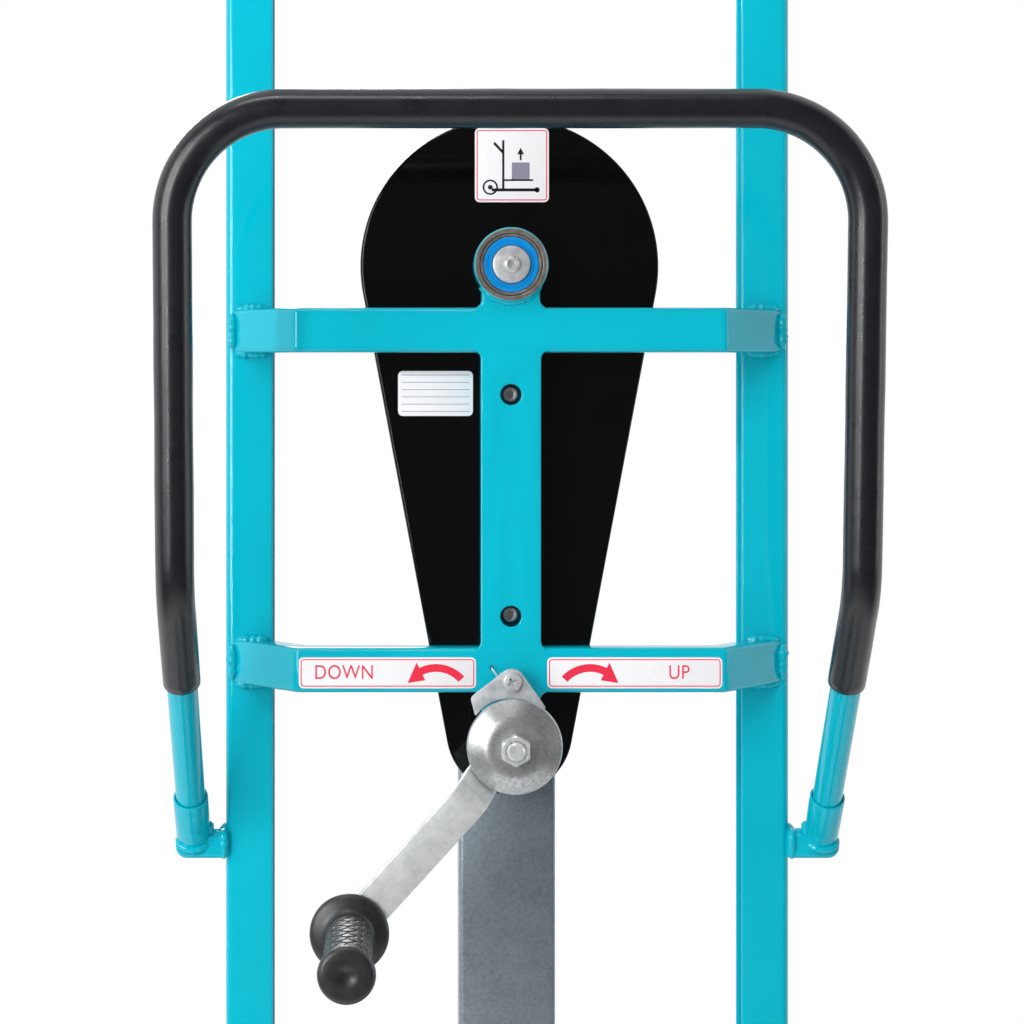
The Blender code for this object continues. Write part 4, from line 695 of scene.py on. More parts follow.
def drill(piece, spot, radius):
    # a real blind hole in the face toward the operator
    rim = ringPoints(spot, radius, 28)
    rows = [[(x, y, level) for x, y in rim] for level in winchFrame["drillLevels"]]
    mesh = rowsMesh("drillBit", rows, capped=True)
    mesh.transform(facing(0, 0))
    cutter = bpy.data.objects.new("drillBit", mesh)
    scene.collection.objects.link(cutter)
    cut = piece.modifiers.new("drilled", "BOOLEAN")
    cut.operation = "DIFFERENCE"
    cut.object = cutter
    bpy.context.view_layer.update()
    graph = bpy.context.evaluated_depsgraph_get()
    drilled = bpy.data.meshes.new_from_object(piece.evaluated_get(graph))
    piece.modifiers.clear()
    piece.data = drilled
    bpy.data.objects.remove(cutter)


def makeCrossbars():
    w = winchFrame
    run = Vector((w["foot"] - w["corner"], -w["setback"])).normalized()
    inward = Vector((run.y, -run.x))
    start = Vector((w["corner"], w["setback"])) + inward * w["depth"]
    front = w["setback"] - w["depth"]
    elbow = start + run * ((start.y - front) / -run.y)
    toe = start + run * ((start.y + w["overlap"]) / -run.y)
    heel = Vector((w["corner"], w["setback"])) + run * ((w["setback"] + w["overlap"]) / -run.y)
    half = [(elbow.x, front), tuple(toe), tuple(heel), (w["corner"], w["setback"])]
    outline = half + [(-x, setback) for x, setback in reversed(half)]
    radii = [w["elbow"], 0, 0, w["bend"], w["bend"], 0, 0, w["elbow"]]
    begin, short, past = toe.x + w["weldStart"], w["foot"] - w["weldShort"], w["foot"] + w["weldPast"]
    outline = [(p[0], -p[1]) for p in softened(outline, radii, 6, True)]
    for level, z in (("upper", upperBarZ), ("lower", lowerBarZ)):
        low, high = -w["height"] / 2, w["height"] / 2
        name = level + "WinchBar"
        mesh = plateMesh(name, [outline], low, high, w["edge"], 4)
        bar = addPiece(name, mesh, paint, "chassis", [level + "_crossbar"], inPlan(z), 40)
        if level == "lower":
            drill(bar, w["springHole"], w["springHoleRadius"])
        for side, sideName in ((-1, "left"), (1, "right")):
            top, bottom = z + high, z + low
            ends = []
            for x, height in (
                (begin, top),
                (short, top),
                (past, top - w["weldDrop"]),
                (past, bottom + w["weldDrop"]),
                (short, bottom),
                (begin, bottom),
            ):
                ends.append(Vector((side * x, mastY - w["weldBack"], height)))
            for part, (first, last) in (("Top", (0, 2)), ("Side", (2, 4)), ("Bottom", (4, 6))):
                weldName = sideName + level.capitalize() + "Weld" + part
                weldBead(weldName, ends[first:last], w["weldRadius"], side * 3 + first, w["weldLumps"])


def flaredBar(half, low, high, flareLow, flareHigh, drop=0.0):
    # a bar's outline whose ends widen into the bars that they are welded to
    points = []
    if flareLow:
        points += [(half + flareLow, low), (half + flareLow, low + drop)]
        points += arcPoints((half + flareLow, low + drop + flareLow), flareLow, 270, 180, 5)
    else:
        points.append((half, low))
    if flareHigh:
        points += arcPoints((half + flareHigh, high - drop - flareHigh), flareHigh, 180, 90, 5)
        points += [(half + flareHigh, high)]
    else:
        points.append((half, high))
    return points + [(-x, y) for x, y in reversed(points)]


centreBar = {
    "overlap": 0.006,
    "drop": 0.0045,
    "wall": 0.002,
    "lap": 0.001,
    "edge": 0.0009,
    "proud": 0.00002,
    "rim": 0.0002,
    "sideBack": 0.0008,
}


def makeCentreBar():
    w = winchFrame
    b = centreBar
    rear = w["setback"] + w["proud"]
    front = w["setback"] - w["depth"]
    low = lowerBarZ + w["height"] / 2 - b["overlap"]
    high = upperBarZ - w["height"] / 2 + b["overlap"]
    loops = [flaredBar(w["barHalf"], low, high, w["fillet"], w["fillet"], b["drop"])]
    for screw in ("case_screw_upper", "case_screw_lower"):
        loops.append(ringPoints((0, middleOf(screw).z), w["accessHole"], 40))
    mesh = plateMesh("centreBarRear", loops, rear - b["wall"] - b["lap"], rear, b["edge"], 2)
    addPiece("centreBarRear", mesh, paint, "chassis", ["centre_bar"], facing(0, 0), 40)
    sides = flaredBar(w["barHalf"] + b["proud"], low, high, 0, 0)
    narrower = 1 - b["wall"] / w["barHalf"]
    inner = [(x * narrower, y) for x, y in sides]
    hollow = [(x * narrower, min(max(y, low + b["rim"]), high - b["rim"])) for x, y in inner]
    mesh = plateMesh("centreBarSides", [sides, hollow], front, rear - b["sideBack"], 0.0, 1)
    addPiece("centreBarSides", mesh, paint, "chassis", (), facing(0, 0), 40)
    mesh = plateMesh("centreBarFront", [inner], front, front + b["wall"], 0.0, 1)
    addPiece("centreBarFront", mesh, paint, "chassis", (), facing(0, 0))


# bearing housings
housing = {
    "radius": 0.024,
    "bore": 0.0211,
    "shoulder": 0.016,
    "front": 0.0303,
    "rear": 0.055,
    "neckFront": 0.031,
    "neckHalf": 0.0195,
    "neckEdge": 0.0022,
    "neckDrop": 0.0128,
    "footRise": 0.012,
    "lap": 0.005,  # how far a neck reaches over its bar
    "gap": 0.0004,
    "weldRing": 0.0246,
    "weldRadius": 0.0026,
    "crankBore": 0.0083,
    "crankRear": 0.053,
}


def makeHousings():
    h = housing
    f = winchFrame["fillet"]
    half, rear, outer = h["neckHalf"], h["rear"], h["radius"]
    neckRear = winchFrame["setback"] - 0.0002
    pocket = setbacksOf("shaft_bearing")[0] - 0.0003
    profile = [
        (outer + 0.0001, rear - 0.0012),
        (outer + 0.0008, rear - 0.0020),
        (outer + 0.0008, h["front"]),
        (h["shoulder"], h["front"]),
        (h["shoulder"], pocket),
        (h["bore"], pocket),
        (h["bore"], rear - 0.0012),
    ]
    place = facing(0, drumZ)
    mesh = turnedMesh("upperHousingTube", profile, 96, True)
    addPiece("upperHousingTube", mesh, paint, "chassis", ["upper_bearing_housing"], place)
    rim = [
        (h["bore"], rear - 0.0003),
        (h["bore"] + 0.0004, rear),
        (outer - 0.0004, rear),
        (outer + 0.0001, rear - 0.0005),
        (outer + 0.0001, rear - 0.002),
        (h["bore"], rear - 0.002),
    ]
    mesh = turnedMesh("upperHousingBareRim", rim, 96, True)
    addPiece("upperHousingBareRim", mesh, turnedSteel, "chassis", (), place)
    barTop = upperBarZ + winchFrame["height"] / 2 - drumZ
    neck = [(half + f, barTop - h["lap"]), (half + f, barTop - h["gap"])]
    neck += arcPoints((half + f, barTop - h["gap"] + f), f, 270, 180, 6)
    neck += [(half + 0.0002, -h["neckDrop"])]
    neck += [(-x, y) for x, y in reversed(neck)]
    collar = arcPoints((0, 0), outer - 0.0004, -36, -144, 24)
    neckOutline = neck[: len(neck) // 2] + collar + neck[len(neck) // 2 :]
    mesh = plateMesh("upperHousingNeck", [neckOutline], h["neckFront"], neckRear, h["neckEdge"], 3)
    addPiece("upperHousingNeck", mesh, paint, "chassis", (), place, 40)
    path = []
    for k in range(13):
        angle = math.radians(36 + 9 * k)
        spot = (h["weldRing"] * math.cos(angle), -h["weldRing"] * math.sin(angle))
        path.append(place @ Vector((*spot, winchFrame["setback"] - 0.0008)))
    weldBead("upperHousingWeld", path, h["weldRadius"], seed=5)

    place = facing(0, crankZ)
    bore, rear = h["crankBore"], h["crankRear"]
    corners = [(bore, rear), (outer, rear), (outer, h["front"]), (bore, h["front"])]
    profile = softened(corners, [0.0004, 0.0012, 0.0006, 0.0004], 3, True)
    mesh = turnedMesh("crankHousingTube", [(p.x, p.y) for p in profile], 72, True)
    addPiece("crankHousingTube", mesh, paint, "chassis", ["lower_bearing_housing"], place)
    barBottom = lowerBarZ - winchFrame["height"] / 2 - crankZ
    foot = [(half + f, barBottom + h["lap"]), (half + f, barBottom + h["gap"])]
    foot += arcPoints((half + f, barBottom + h["gap"] - f), f, 90, 180, 6)
    foot += [(half, h["footRise"])]
    foot += [(-x, y) for x, y in reversed(foot)]
    mesh = plateMesh("crankHousingFoot", [foot], h["neckFront"], neckRear, h["neckEdge"], 3)
    addPiece("crankHousingFoot", mesh, paint, "chassis", (), place, 40)


# shaft end: bearing, seal, washer, bolt
shaftEnd = {"bearing": 0.0207, "bore": 0.0103, "mouth": 0.0032, "hexHalf": 0.0026, "hexDepth": 0.0017}


def hexShare(angle):
    # a hexagon's reach at an angle, as a share of its corners' reach
    return math.cos(math.pi / 6) / math.cos((angle % (math.pi / 3)) - math.pi / 6)


def hexSocket(limit):
    # a relief that makes a turned recess hexagonal out to the limit
    return lambda angle, radius, height: radius * hexShare(angle) if radius <= limit else radius


def makeShaftEnd():
    e = shaftEnd
    place = facing(0, drumZ)
    front, rear = setbacksOf("shaft_bearing")
    outer, bore = e["bearing"], e["bore"]
    profile = [
        (outer - 0.0004, rear),
        (outer, rear - 0.0005),
        (outer, front),
        (bore, front),
        (bore, rear - 0.001),
        (0.0126, rear - 0.001),
        (0.0132, rear - 0.0016),
        (0.0186, rear - 0.0016),
        (0.0189, rear - 0.0002),
        (0.0192, rear),
    ]
    mesh = turnedMesh("bearingRings", profile, 96, True)
    addPiece("bearingRings", mesh, turnedSteel, "chassis", ["shaft_bearing"], place)
    seal = [
        (0.0183, rear - 0.0013),
        (0.0183, rear - 0.0005),
        (0.0178, rear - 0.0002),
        (0.0158, rear - 0.0003),
        (0.0156, rear - 0.0006),
        (0.0150, rear - 0.0006),
        (0.0148, rear - 0.0003),
        (0.0130, rear - 0.0002),
        (0.0130, rear - 0.0013),
    ]
    mesh = turnedMesh("blueBearingSeal", seal[::-1], 96, True)
    addPiece("blueBearingSeal", mesh, blueSeal, "chassis", ["bearing_seal"], place)

    front, rear = setbacksOf("shaft_washer")
    seat = rear + 0.0003
    washer = [
        (0.0033, rear),
        (0.0070, rear),
        (0.0082, rear - 0.0002),
        (0.0110, rear - 0.0002),
        (0.0122, rear - 0.0006),
        (0.0125, rear - 0.0011),
        (0.0122, front),
        (0.0033, front),
    ]
    mesh = turnedMesh("dishedShaftWasher", washer, 96, True)
    addPiece("dishedShaftWasher", mesh, plateZinc, "drum", ["shaft_washer"], place)

    front, rear = setbacksOf("shaft_bolt")
    floor = rear - e["hexDepth"]
    profile = [(0, floor), (e["hexHalf"], floor), (0.00265, rear - 0.0001), (e["mouth"], rear)]
    for k in range(1, 7):
        # the round of the button head
        turn = math.radians(15 * k)
        level = seat + 0.0006 + (rear - seat - 0.0006) * math.cos(turn)
        profile.append((e["mouth"] + 0.0023 * math.sin(turn), level))
    profile += [(0.0055, seat), (0.003, seat), (0.003, front), (0, front)]
    mesh = turnedMesh("buttonHeadBolt", profile, 60, False, hexSocket(0.0027))
    addPiece("buttonHeadBolt", mesh, boltZinc, "drum", ["shaft_bolt"], place)


# chain case
case = {
    "bigRadius": 0.1006,
    "smallRadius": 0.0427,
    "wall": 0.0015,
    "edge": 0.0022,
    "shaftHole": 0.012,
    "crankHole": 0.010,
    "steps": 90,
    "holeSides": 40,
    "screwHead": 0.006,
    "screwTurn": 0.3,
}


def teardrop(inset, steps):
    big, small = case["bigRadius"] - inset, case["smallRadius"] - inset
    distance = drumZ - crankZ
    lean = math.degrees(math.asin((big - small) / distance))
    top = arcPoints((0, distance), big, -lean, 180 + lean, steps)
    return top + arcPoints((0, 0), small, 180 + lean, 360 - lean, steps // 2)


def makeCase():
    c = case
    front, rear = setbacksOf("chain_case_cover")
    edge, wall, sides = c["edge"], c["wall"], c["holeSides"]
    levels = [(wall, rear - wall), (wall, front), (0, front), (0, rear - edge)]
    for degrees in (18, 36, 54, 72, 90):
        turn = math.radians(degrees)
        levels.append((edge * (1 - math.cos(turn)), rear - edge * (1 - math.sin(turn))))
    rows = [[(x, y, setback) for x, y in teardrop(inset, c["steps"])] for inset, setback in levels]
    mesh = rowsMesh("chainCaseCover", rows)
    work = bmesh.new()
    work.from_mesh(mesh)
    for centreY, radius in ((drumZ - crankZ, c["shaftHole"]), (0, c["crankHole"])):
        rims = []
        for setback in (rear, rear - wall):
            rims.append([work.verts.new((x, y, setback)) for x, y in ringPoints((0, centreY), radius, sides)])
        for i in range(sides):
            j = (i + 1) % sides
            work.faces.new((rims[0][i], rims[0][j], rims[1][j], rims[1][i]))
    for setback in (rear, rear - wall):
        # the face and its inner side are filled between the outline and both holes
        rim = [
            edge
            for edge in work.edges
            if len(edge.link_faces) < 2 and all(abs(v.co.z - setback) < 1e-6 for v in edge.verts)
        ]
        bmesh.ops.triangle_fill(work, edges=rim, use_beauty=True, use_dissolve=False)
    bmesh.ops.recalc_face_normals(work, faces=work.faces)
    work.to_mesh(mesh)
    work.free()
    addPiece("chainCaseCover", mesh, blackPaint, "chassis", ["chain_case_cover"], facing(0, crankZ))

    for level in ("upper", "lower"):
        node = "case_screw_" + level
        front, rear = setbacksOf(node)
        seat = rear - c["screwHead"]
        profile = [(0, rear - 0.0034), (0.0028, rear - 0.0034), (0.00285, rear - 0.0002), (0.0033, rear)]
        profile += [(0.0045, rear), (0.005, rear - 0.0005), (0.005, seat)]
        profile += [(0.003, seat), (0.003, front), (0, front)]
        mesh = turnedMesh(level + "CaseScrew", profile, 60, False, hexSocket(0.0029))
        place = facing(0, middleOf(node).z, 0, c["screwTurn"])
        addPiece(level + "CaseScrew", mesh, boltZinc, "chassis", [node], place)


# belt guard
guard = {"wall": 0.002, "bend": 0.003, "crease": 0.001, "lip": 0.0003, "edge": 0.0002}


def makeGuard():
    g = guard
    low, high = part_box("belt_guard")
    half, wall = high.x, g["wall"]
    rear, front = low.y - mastY, high.y - mastY
    outline = [
        (-half, rear),
        (half, rear),
        (half, front),
        (half - wall, front),
        (half - wall, rear + wall),
        (wall - half, rear + wall),
        (wall - half, front),
        (-half, front),
    ]
    radii = [g["bend"], g["bend"], g["lip"], g["lip"], g["crease"], g["crease"], g["lip"], g["lip"]]
    loop = softened(outline, radii, 5, True)
    mesh = plateMesh("beltGuardChannel", [loop], low.z, high.z, g["edge"], 1)
    addPiece("beltGuardChannel", mesh, guardZinc, "chassis", ["belt_guard"], inPlan())


# push handle
handle = {
    "x": 0.2156,
    "tube": 0.010,
    "tubeWall": 0.002,
    "sleeve": 0.0122,
    "kneeZ": 0.905,
    "kneeSetback": 0.143,
    "topZ": 1.205,
    "topSetback": 0.168,
    "kneeRadius": 0.060,
    "cornerRadius": 0.070,
    "lean": math.radians(38.7),
    "rimZ": 0.755,
    "socketLength": 0.0481,
    "socketWall": 0.0015,
    "socketFloor": 0.006,
    "sleeveEndZ": 0.841,
    "spacing": 0.006,
    "tubeEnd": 0.0006,
    "sleeveFit": 0.00025,
    "socketFit": 0.0003,
    "stubInto": 0.0025,
    "stubPast": 0.012,
    "stubHalf": 0.0086,
    "stubDepth": 0.0118,
    "stubEdge": 0.0032,
    "stubWeldOut": 0.0010,
    "stubWeldDepth": 0.0112,
    "stubWeldHalf": 0.0085,
    "socketWeldRise": 0.0070,
}


def handleLine(z, side=-1):
    setback = handle["kneeSetback"] - (handle["kneeZ"] - z) * math.tan(handle["lean"])
    return Vector((side * handle["x"], mastY - setback, z))


def handlePath(endZ, steps):
    h = handle
    knee = Vector((-h["x"], mastY - h["kneeSetback"], h["kneeZ"]))
    top = Vector((-h["x"], mastY - h["topSetback"], h["topZ"]))
    flip = Vector((-1, 1, 1))
    end = handleLine(endZ)
    corners = [end, knee, top, top * flip, knee * flip, end * flip]
    radii = [0, h["kneeRadius"], h["cornerRadius"], h["cornerRadius"], h["kneeRadius"], 0]
    path = softened(corners, radii, steps)
    dense = []
    for first, second in zip(path, path[1:]):
        count = max(1, int((second - first).length / h["spacing"]))
        dense += [first.lerp(second, step / count) for step in range(count)]
    return dense + [path[-1]]


def roundTube(name, path, outer, inner, sides, radiusAt=None):
    # an open tube whose outer edge is softened at each end
    count = len(path)
    end = handle["tubeEnd"]
    angles = [2 * math.pi * k / sides for k in range(sides)]
    stations = [(i, radiusAt(i) if radiusAt else outer) for i in range(count)]
    stations = [(0, outer - end)] + stations + [(count - 1, outer - end)]
    stations += [(i, inner) for i in range(count - 1, -1, -1)]
    frames = []
    across = None
    for i, point in enumerate(path):
        run = (path[min(i + 1, count - 1)] - path[max(i - 1, 0)]).normalized()
        if across is None:
            across = run.orthogonal().normalized()
        across = (across - run * across.dot(run)).normalized()
        frames.append((point, across, run.cross(across), run))
    rows = []
    for k, (i, radius) in enumerate(stations):
        point, a, b, run = frames[i]
        shift = Vector((0, 0, 0))
        if k == 1:
            shift = run * end
        if k == count:
            shift = run * -end
        ring = [(radius * math.cos(angle), radius * math.sin(angle)) for angle in angles]
        rows.append([point + shift + a * u + b * v for u, v in ring])
    return rowsMesh(name, rows, closedRun=True)


def makeHandle():
    h = handle
    drop = (h["socketLength"] - h["socketFloor"] - h["socketFit"]) * math.cos(h["lean"])
    path = handlePath(h["rimZ"] - drop, 30)
    mesh = roundTube("handleTube", path, h["tube"], h["tube"] - h["tubeWall"], 40)
    addPiece("handleTube", mesh, paint, "chassis", ["handle_tube"], None, 50)
    sleevePath = handlePath(h["sleeveEndZ"], 40)

    def sleeveRadius(i):
        # soft foam is slightly uneven, in long waves and in short ones
        wave = noise.noise(sleevePath[i] * 22) * 0.00022 + noise.noise(sleevePath[i] * 90) * 0.00008
        return h["sleeve"] + wave

    mesh = roundTube("softSleeve", sleevePath, h["sleeve"], h["tube"] + h["sleeveFit"], 48, sleeveRadius)
    addPiece("softSleeve", mesh, sleeveFoam, "chassis", ["handle_sleeve"], None, 50)
    for side, sideName in ((-1, "left"), (1, "right")):
        makeHandleFoot(side, sideName)


def makeHandleFoot(side, sideName):
    # the socket that holds the tube, its stub and gusset on the post, and their welds
    h = handle
    bore = h["tube"] + h["socketFit"]
    outer = bore + h["socketWall"]
    place = Matrix.Translation(handleLine(h["rimZ"], side)) @ Matrix.Rotation(h["lean"], 4, "X")
    length = h["socketLength"]
    floor = h["socketFloor"] - length
    corners = [(0, -length), (outer, -length), (outer, 0), (bore, 0), (bore, floor), (0, floor)]
    profile = softened(corners, [0, 0.0035, 0.0007, 0.0005, 0.0004, 0], 4)
    name = sideName + "HandleSocket"
    mesh = turnedMesh(name, [(p.x, p.y) for p in profile], 56)
    addPiece(name, mesh, paint, "chassis", [sideName + "_handle_bracket"], place)

    footZ = h["rimZ"] - length * math.cos(h["lean"])
    footSetback = mastY - handleLine(footZ).y
    inner, end, half = post["outer"] - h["stubInto"], h["x"] + h["stubPast"], h["stubHalf"]
    outline = [(inner, -half), (end, -half), (end, half), (inner, half)]
    outline = softened(outline, [0.0034, 0.008, 0.006, 0.0034], 8, True)
    outline = [(side * x, y) for x, y in outline]
    low, high = footSetback - h["stubDepth"], footSetback + h["stubDepth"]
    mesh = plateMesh(sideName + "HandleStub", [outline], low, high, h["stubEdge"], 4)
    addPiece(sideName + "HandleStub", mesh, paint, "chassis", (), facing(0, footZ), 40)
    gusset = [(inner, 0.0), (0.203, 0.0), (0.2005, 0.0075), (0.1965, 0.0125), (inner, 0.016)]
    gusset = softened(gusset, [0, 0, 0.004, 0.004, 0.001], 4, True)
    gusset = [(side * x, y) for x, y in gusset]
    low, high = footSetback - 0.006, footSetback + 0.004
    mesh = plateMesh(sideName + "HandleGusset", [gusset], low, high, 0.003, 3)
    addPiece(sideName + "HandleGusset", mesh, paint, "chassis", (), facing(0, footZ), 50)

    x = side * (post["outer"] + h["stubWeldOut"])
    near, far = mastY - footSetback - h["stubWeldDepth"], mastY - footSetback + h["stubWeldDepth"]
    low, high = footZ - h["stubWeldHalf"], footZ + h["stubWeldHalf"]
    loop = [(x, near, low), (x, near, high), (x, far, high)]
    weldBead(sideName + "StubWeld", loop, 0.0029, side * 7, 0.2)
    ringPath = []
    for k in range(9):
        angle = math.radians(190 + 20 * k)
        spot = (outer * math.cos(angle), outer * math.sin(angle), h["socketWeldRise"] - length)
        ringPath.append(place @ Vector(spot))
    weldBead(sideName + "SocketWeld", ringPath, 0.0027, side * 9, 0.12)
    reachIn = side * (h["x"] - outer + 0.0006)
    bridge = [(reachIn, near + 0.006, footZ + 0.0072), (x, near + 0.005, footZ + 0.0072)]
    weldBead(sideName + "BridgeWeld", bridge, 0.0042, side * 5, 0.12)
    climb = [(reachIn, near + 0.005, footZ + 0.005), (reachIn, near + 0.001, footZ + 0.017)]
    weldBead(sideName + "ClimbWeld", climb, 0.0031, side * 6, 0.12)


# crank: arm, cover, nut, shaft end, grip
crank = {
    "angle": math.radians(227.6),
    "radius": 0.158,
    "width": 0.024,
    "thickness": 0.006,
    "front": 0.0842,
    "joggle": 0.022,
    "joggleStart": 0.0312,
    "joggleRun": 0.013,
    "edge": 0.0009,
    "tipSteps": 15,
    "bore": 0.0063,
    "hub": 0.014,
    "hubFront": 0.0642,
    "hubRear": 0.0868,
    "collar": 0.010,
    "collarRear": 0.1042,
}


def makeCrankArm():
    c = crank
    middle = c["front"] + c["thickness"] / 2
    half = c["width"] / 2
    reach = c["radius"] + half
    corners = [
        (-half, middle),
        (c["joggleStart"], middle),
        (c["joggleStart"] + c["joggleRun"], middle + c["joggle"]),
        (reach, middle + c["joggle"]),
    ]
    line = softened([Vector((x, 0, z)) for x, z in corners], [0, 0.006, 0.013, 0], 10)
    steps = c["tipSteps"]
    ends = [(1 - math.cos(math.radians(90 * k / steps))) * half for k in range(1, steps)]
    path = [Vector((-half + offset * 0.999 + 0.00003, 0, middle)) for offset in ends] + line[1:-1]
    path += [Vector((reach - offset * 0.999 - 0.00003, 0, middle + c["joggle"])) for offset in reversed(ends)]

    def halfWidth(x):
        if x < 0:
            return math.sqrt(max(half ** 2 - x ** 2, 1e-9))
        if x > c["radius"]:
            return math.sqrt(max(half ** 2 - (x - c["radius"]) ** 2, 1e-9))
        return half

    def section(i):
        w = halfWidth(path[i].x)
        t, e = c["thickness"] / 2, min(c["edge"], w * 0.9)
        corner = softened([(w, -t), (w, t), (-w, t), (-w, -t)], e, 3, True)
        return [(p[0], p[1]) for p in corner]

    mesh = sweptMesh("crankArmBar", path, section, True, (0, 1, 0))
    addPiece("crankArmBar", mesh, armZinc, "crank", ["crank_arm"], facing(0, crankZ, 0, c["angle"]), 40)
    bore, collar = c["bore"], c["collar"]
    corners = [(bore, c["hubFront"]), (c["hub"], c["hubFront"]), (c["hub"], c["hubRear"])]
    hub = softened(corners, [0, 0.0006, 0], 3)
    profile = [(p.x, p.y) for p in hub]
    profile += [(collar, c["hubRear"]), (collar, c["collarRear"]), (bore, c["collarRear"])]
    mesh = turnedMesh("crankHub", profile, 64, True)
    addPiece("crankHub", mesh, turnedSteel, "crank", (), facing(0, crankZ))
    tipX = c["radius"] * math.cos(c["angle"])
    tipZ = crankZ + c["radius"] * math.sin(c["angle"])
    face = c["front"] + c["joggle"]
    end = setbacksOf("crank_grip")[1] - 0.0034
    profile = [(0, face - 0.0012), (0.0052, face - 0.0012), (0.0068, face - 0.0002)]
    profile += [(0.0068, face + 0.001), (0.005, face + 0.001), (0.005, end), (0, end)]
    mesh = turnedMesh("gripSpindle", profile, 48)
    addPiece("gripSpindle", mesh, boltZinc, "crank", (), facing(tipX, tipZ))
    return tipX, tipZ


cover = {"radius": 0.031, "flat": 0.0185, "sheet": 0.0018, "bore": 0.0063}
nut = {"across": 0.018, "sides": 96, "bore": 0.0062, "face": 0.0088}
thread = {
    "radius": 0.006,
    "root": 0.0055,
    "pitch": 0.0015,
    "turns": 9,
    "tip": 0.0014,
    "journal": 0.008,
    "flange": 0.022,
    "flangeFront": 0.0533,
    "flangeDepth": 0.004,
}


def makeCover():
    v = cover
    place = facing(0, crankZ)
    lip, rear = setbacksOf("brake_cover")
    bore, radius, inner = v["bore"], v["radius"], v["radius"] - v["sheet"]
    outline = [
        (bore, rear),
        (v["flat"], rear),
        (radius - 0.0006, lip + 0.0048),
        (radius, lip + 0.0038),
        (radius, lip),
        (inner, lip),
        (inner, lip + 0.0030),
        (v["flat"] - 0.0004, rear - v["sheet"]),
        (bore, rear - v["sheet"]),
    ]
    radii = [0.0002, 0.013, 0.0012, 0.0006, 0.0004, 0.0004, 0.001, 0.005, 0.0002]
    profile = [(p.x, p.y) for p in softened(outline, radii, 8, True)]
    mesh = turnedMesh("dishedBrakeCover", profile, 144, True)
    addPiece("dishedBrakeCover", mesh, coverZinc, "crank", ["brake_cover"], place)

    front, rear = setbacksOf("crank_nut")
    across, sides = nut["across"], nut["sides"]
    corner = across / math.sqrt(3)
    rows = []
    for radius, height, faceted in (
        (v["bore"], front, False),
        (nut["face"], front, False),
        (corner, front + 0.0006, True),
        (corner, rear - 0.0018, True),
        (0.0098, rear - 0.0011, True),
        (nut["face"], rear - 0.0004, False),
        (0.0086, rear, False),
        (0.0068, rear, False),
        (nut["bore"], rear - 0.0006, False),
        (nut["bore"], front, False),
    ):
        row = []
        for k in range(sides):
            angle = 2 * math.pi * k / sides
            facet = across / 2 / math.cos(((angle - math.pi / 6) % (math.pi / 3)) - math.pi / 6)
            reach = min(radius, facet) if faceted else radius
            row.append((reach * math.cos(angle), reach * math.sin(angle), height))
        rows.append(row)
    mesh = rowsMesh("crankNut", rows, closedRun=True)
    addPiece("crankNut", mesh, boltZinc, "crank", ["crank_nut"], place, 25)

    t = thread
    start, end = setbacksOf("crank_shaft")
    crest, root, wide, flange = t["radius"], t["root"], t["flange"], t["flangeFront"]
    profile = [(0, end - 0.0001), (0.0046, end), (0.0052, end - 0.0005), (crest, end - t["tip"])]
    for k in range(t["turns"]):
        top = end - t["tip"] - k * t["pitch"]
        profile += [(crest, top - 0.0004), (root, top - 0.00075)]
        profile += [(root, top - 0.00085), (crest, top - 0.0012)]
    profile += [(crest, flange + t["flangeDepth"]), (wide - 0.0005, flange + t["flangeDepth"])]
    profile += [(wide, flange + t["flangeDepth"] - 0.0005), (wide, flange)]
    profile += [(t["journal"], flange), (t["journal"], start), (0, start)]
    mesh = turnedMesh("threadedCrankShaft", profile, 64)
    addPiece("threadedCrankShaft", mesh, boltZinc, "crank", ["crank_shaft"], place)


grip = {
    "barrel": 0.0143,
    "bore": 0.0053,
    "levels": 208,
    "rows": 13,
    "around": 10,
    "relief": 0.0009,
    "steep": 14,
    "leafRoom": 0.47,
    "leafCurve": 2.2,
    "leafShare": 0.6,
    "fade": 0.002,
    "swell": 0.0004,
}


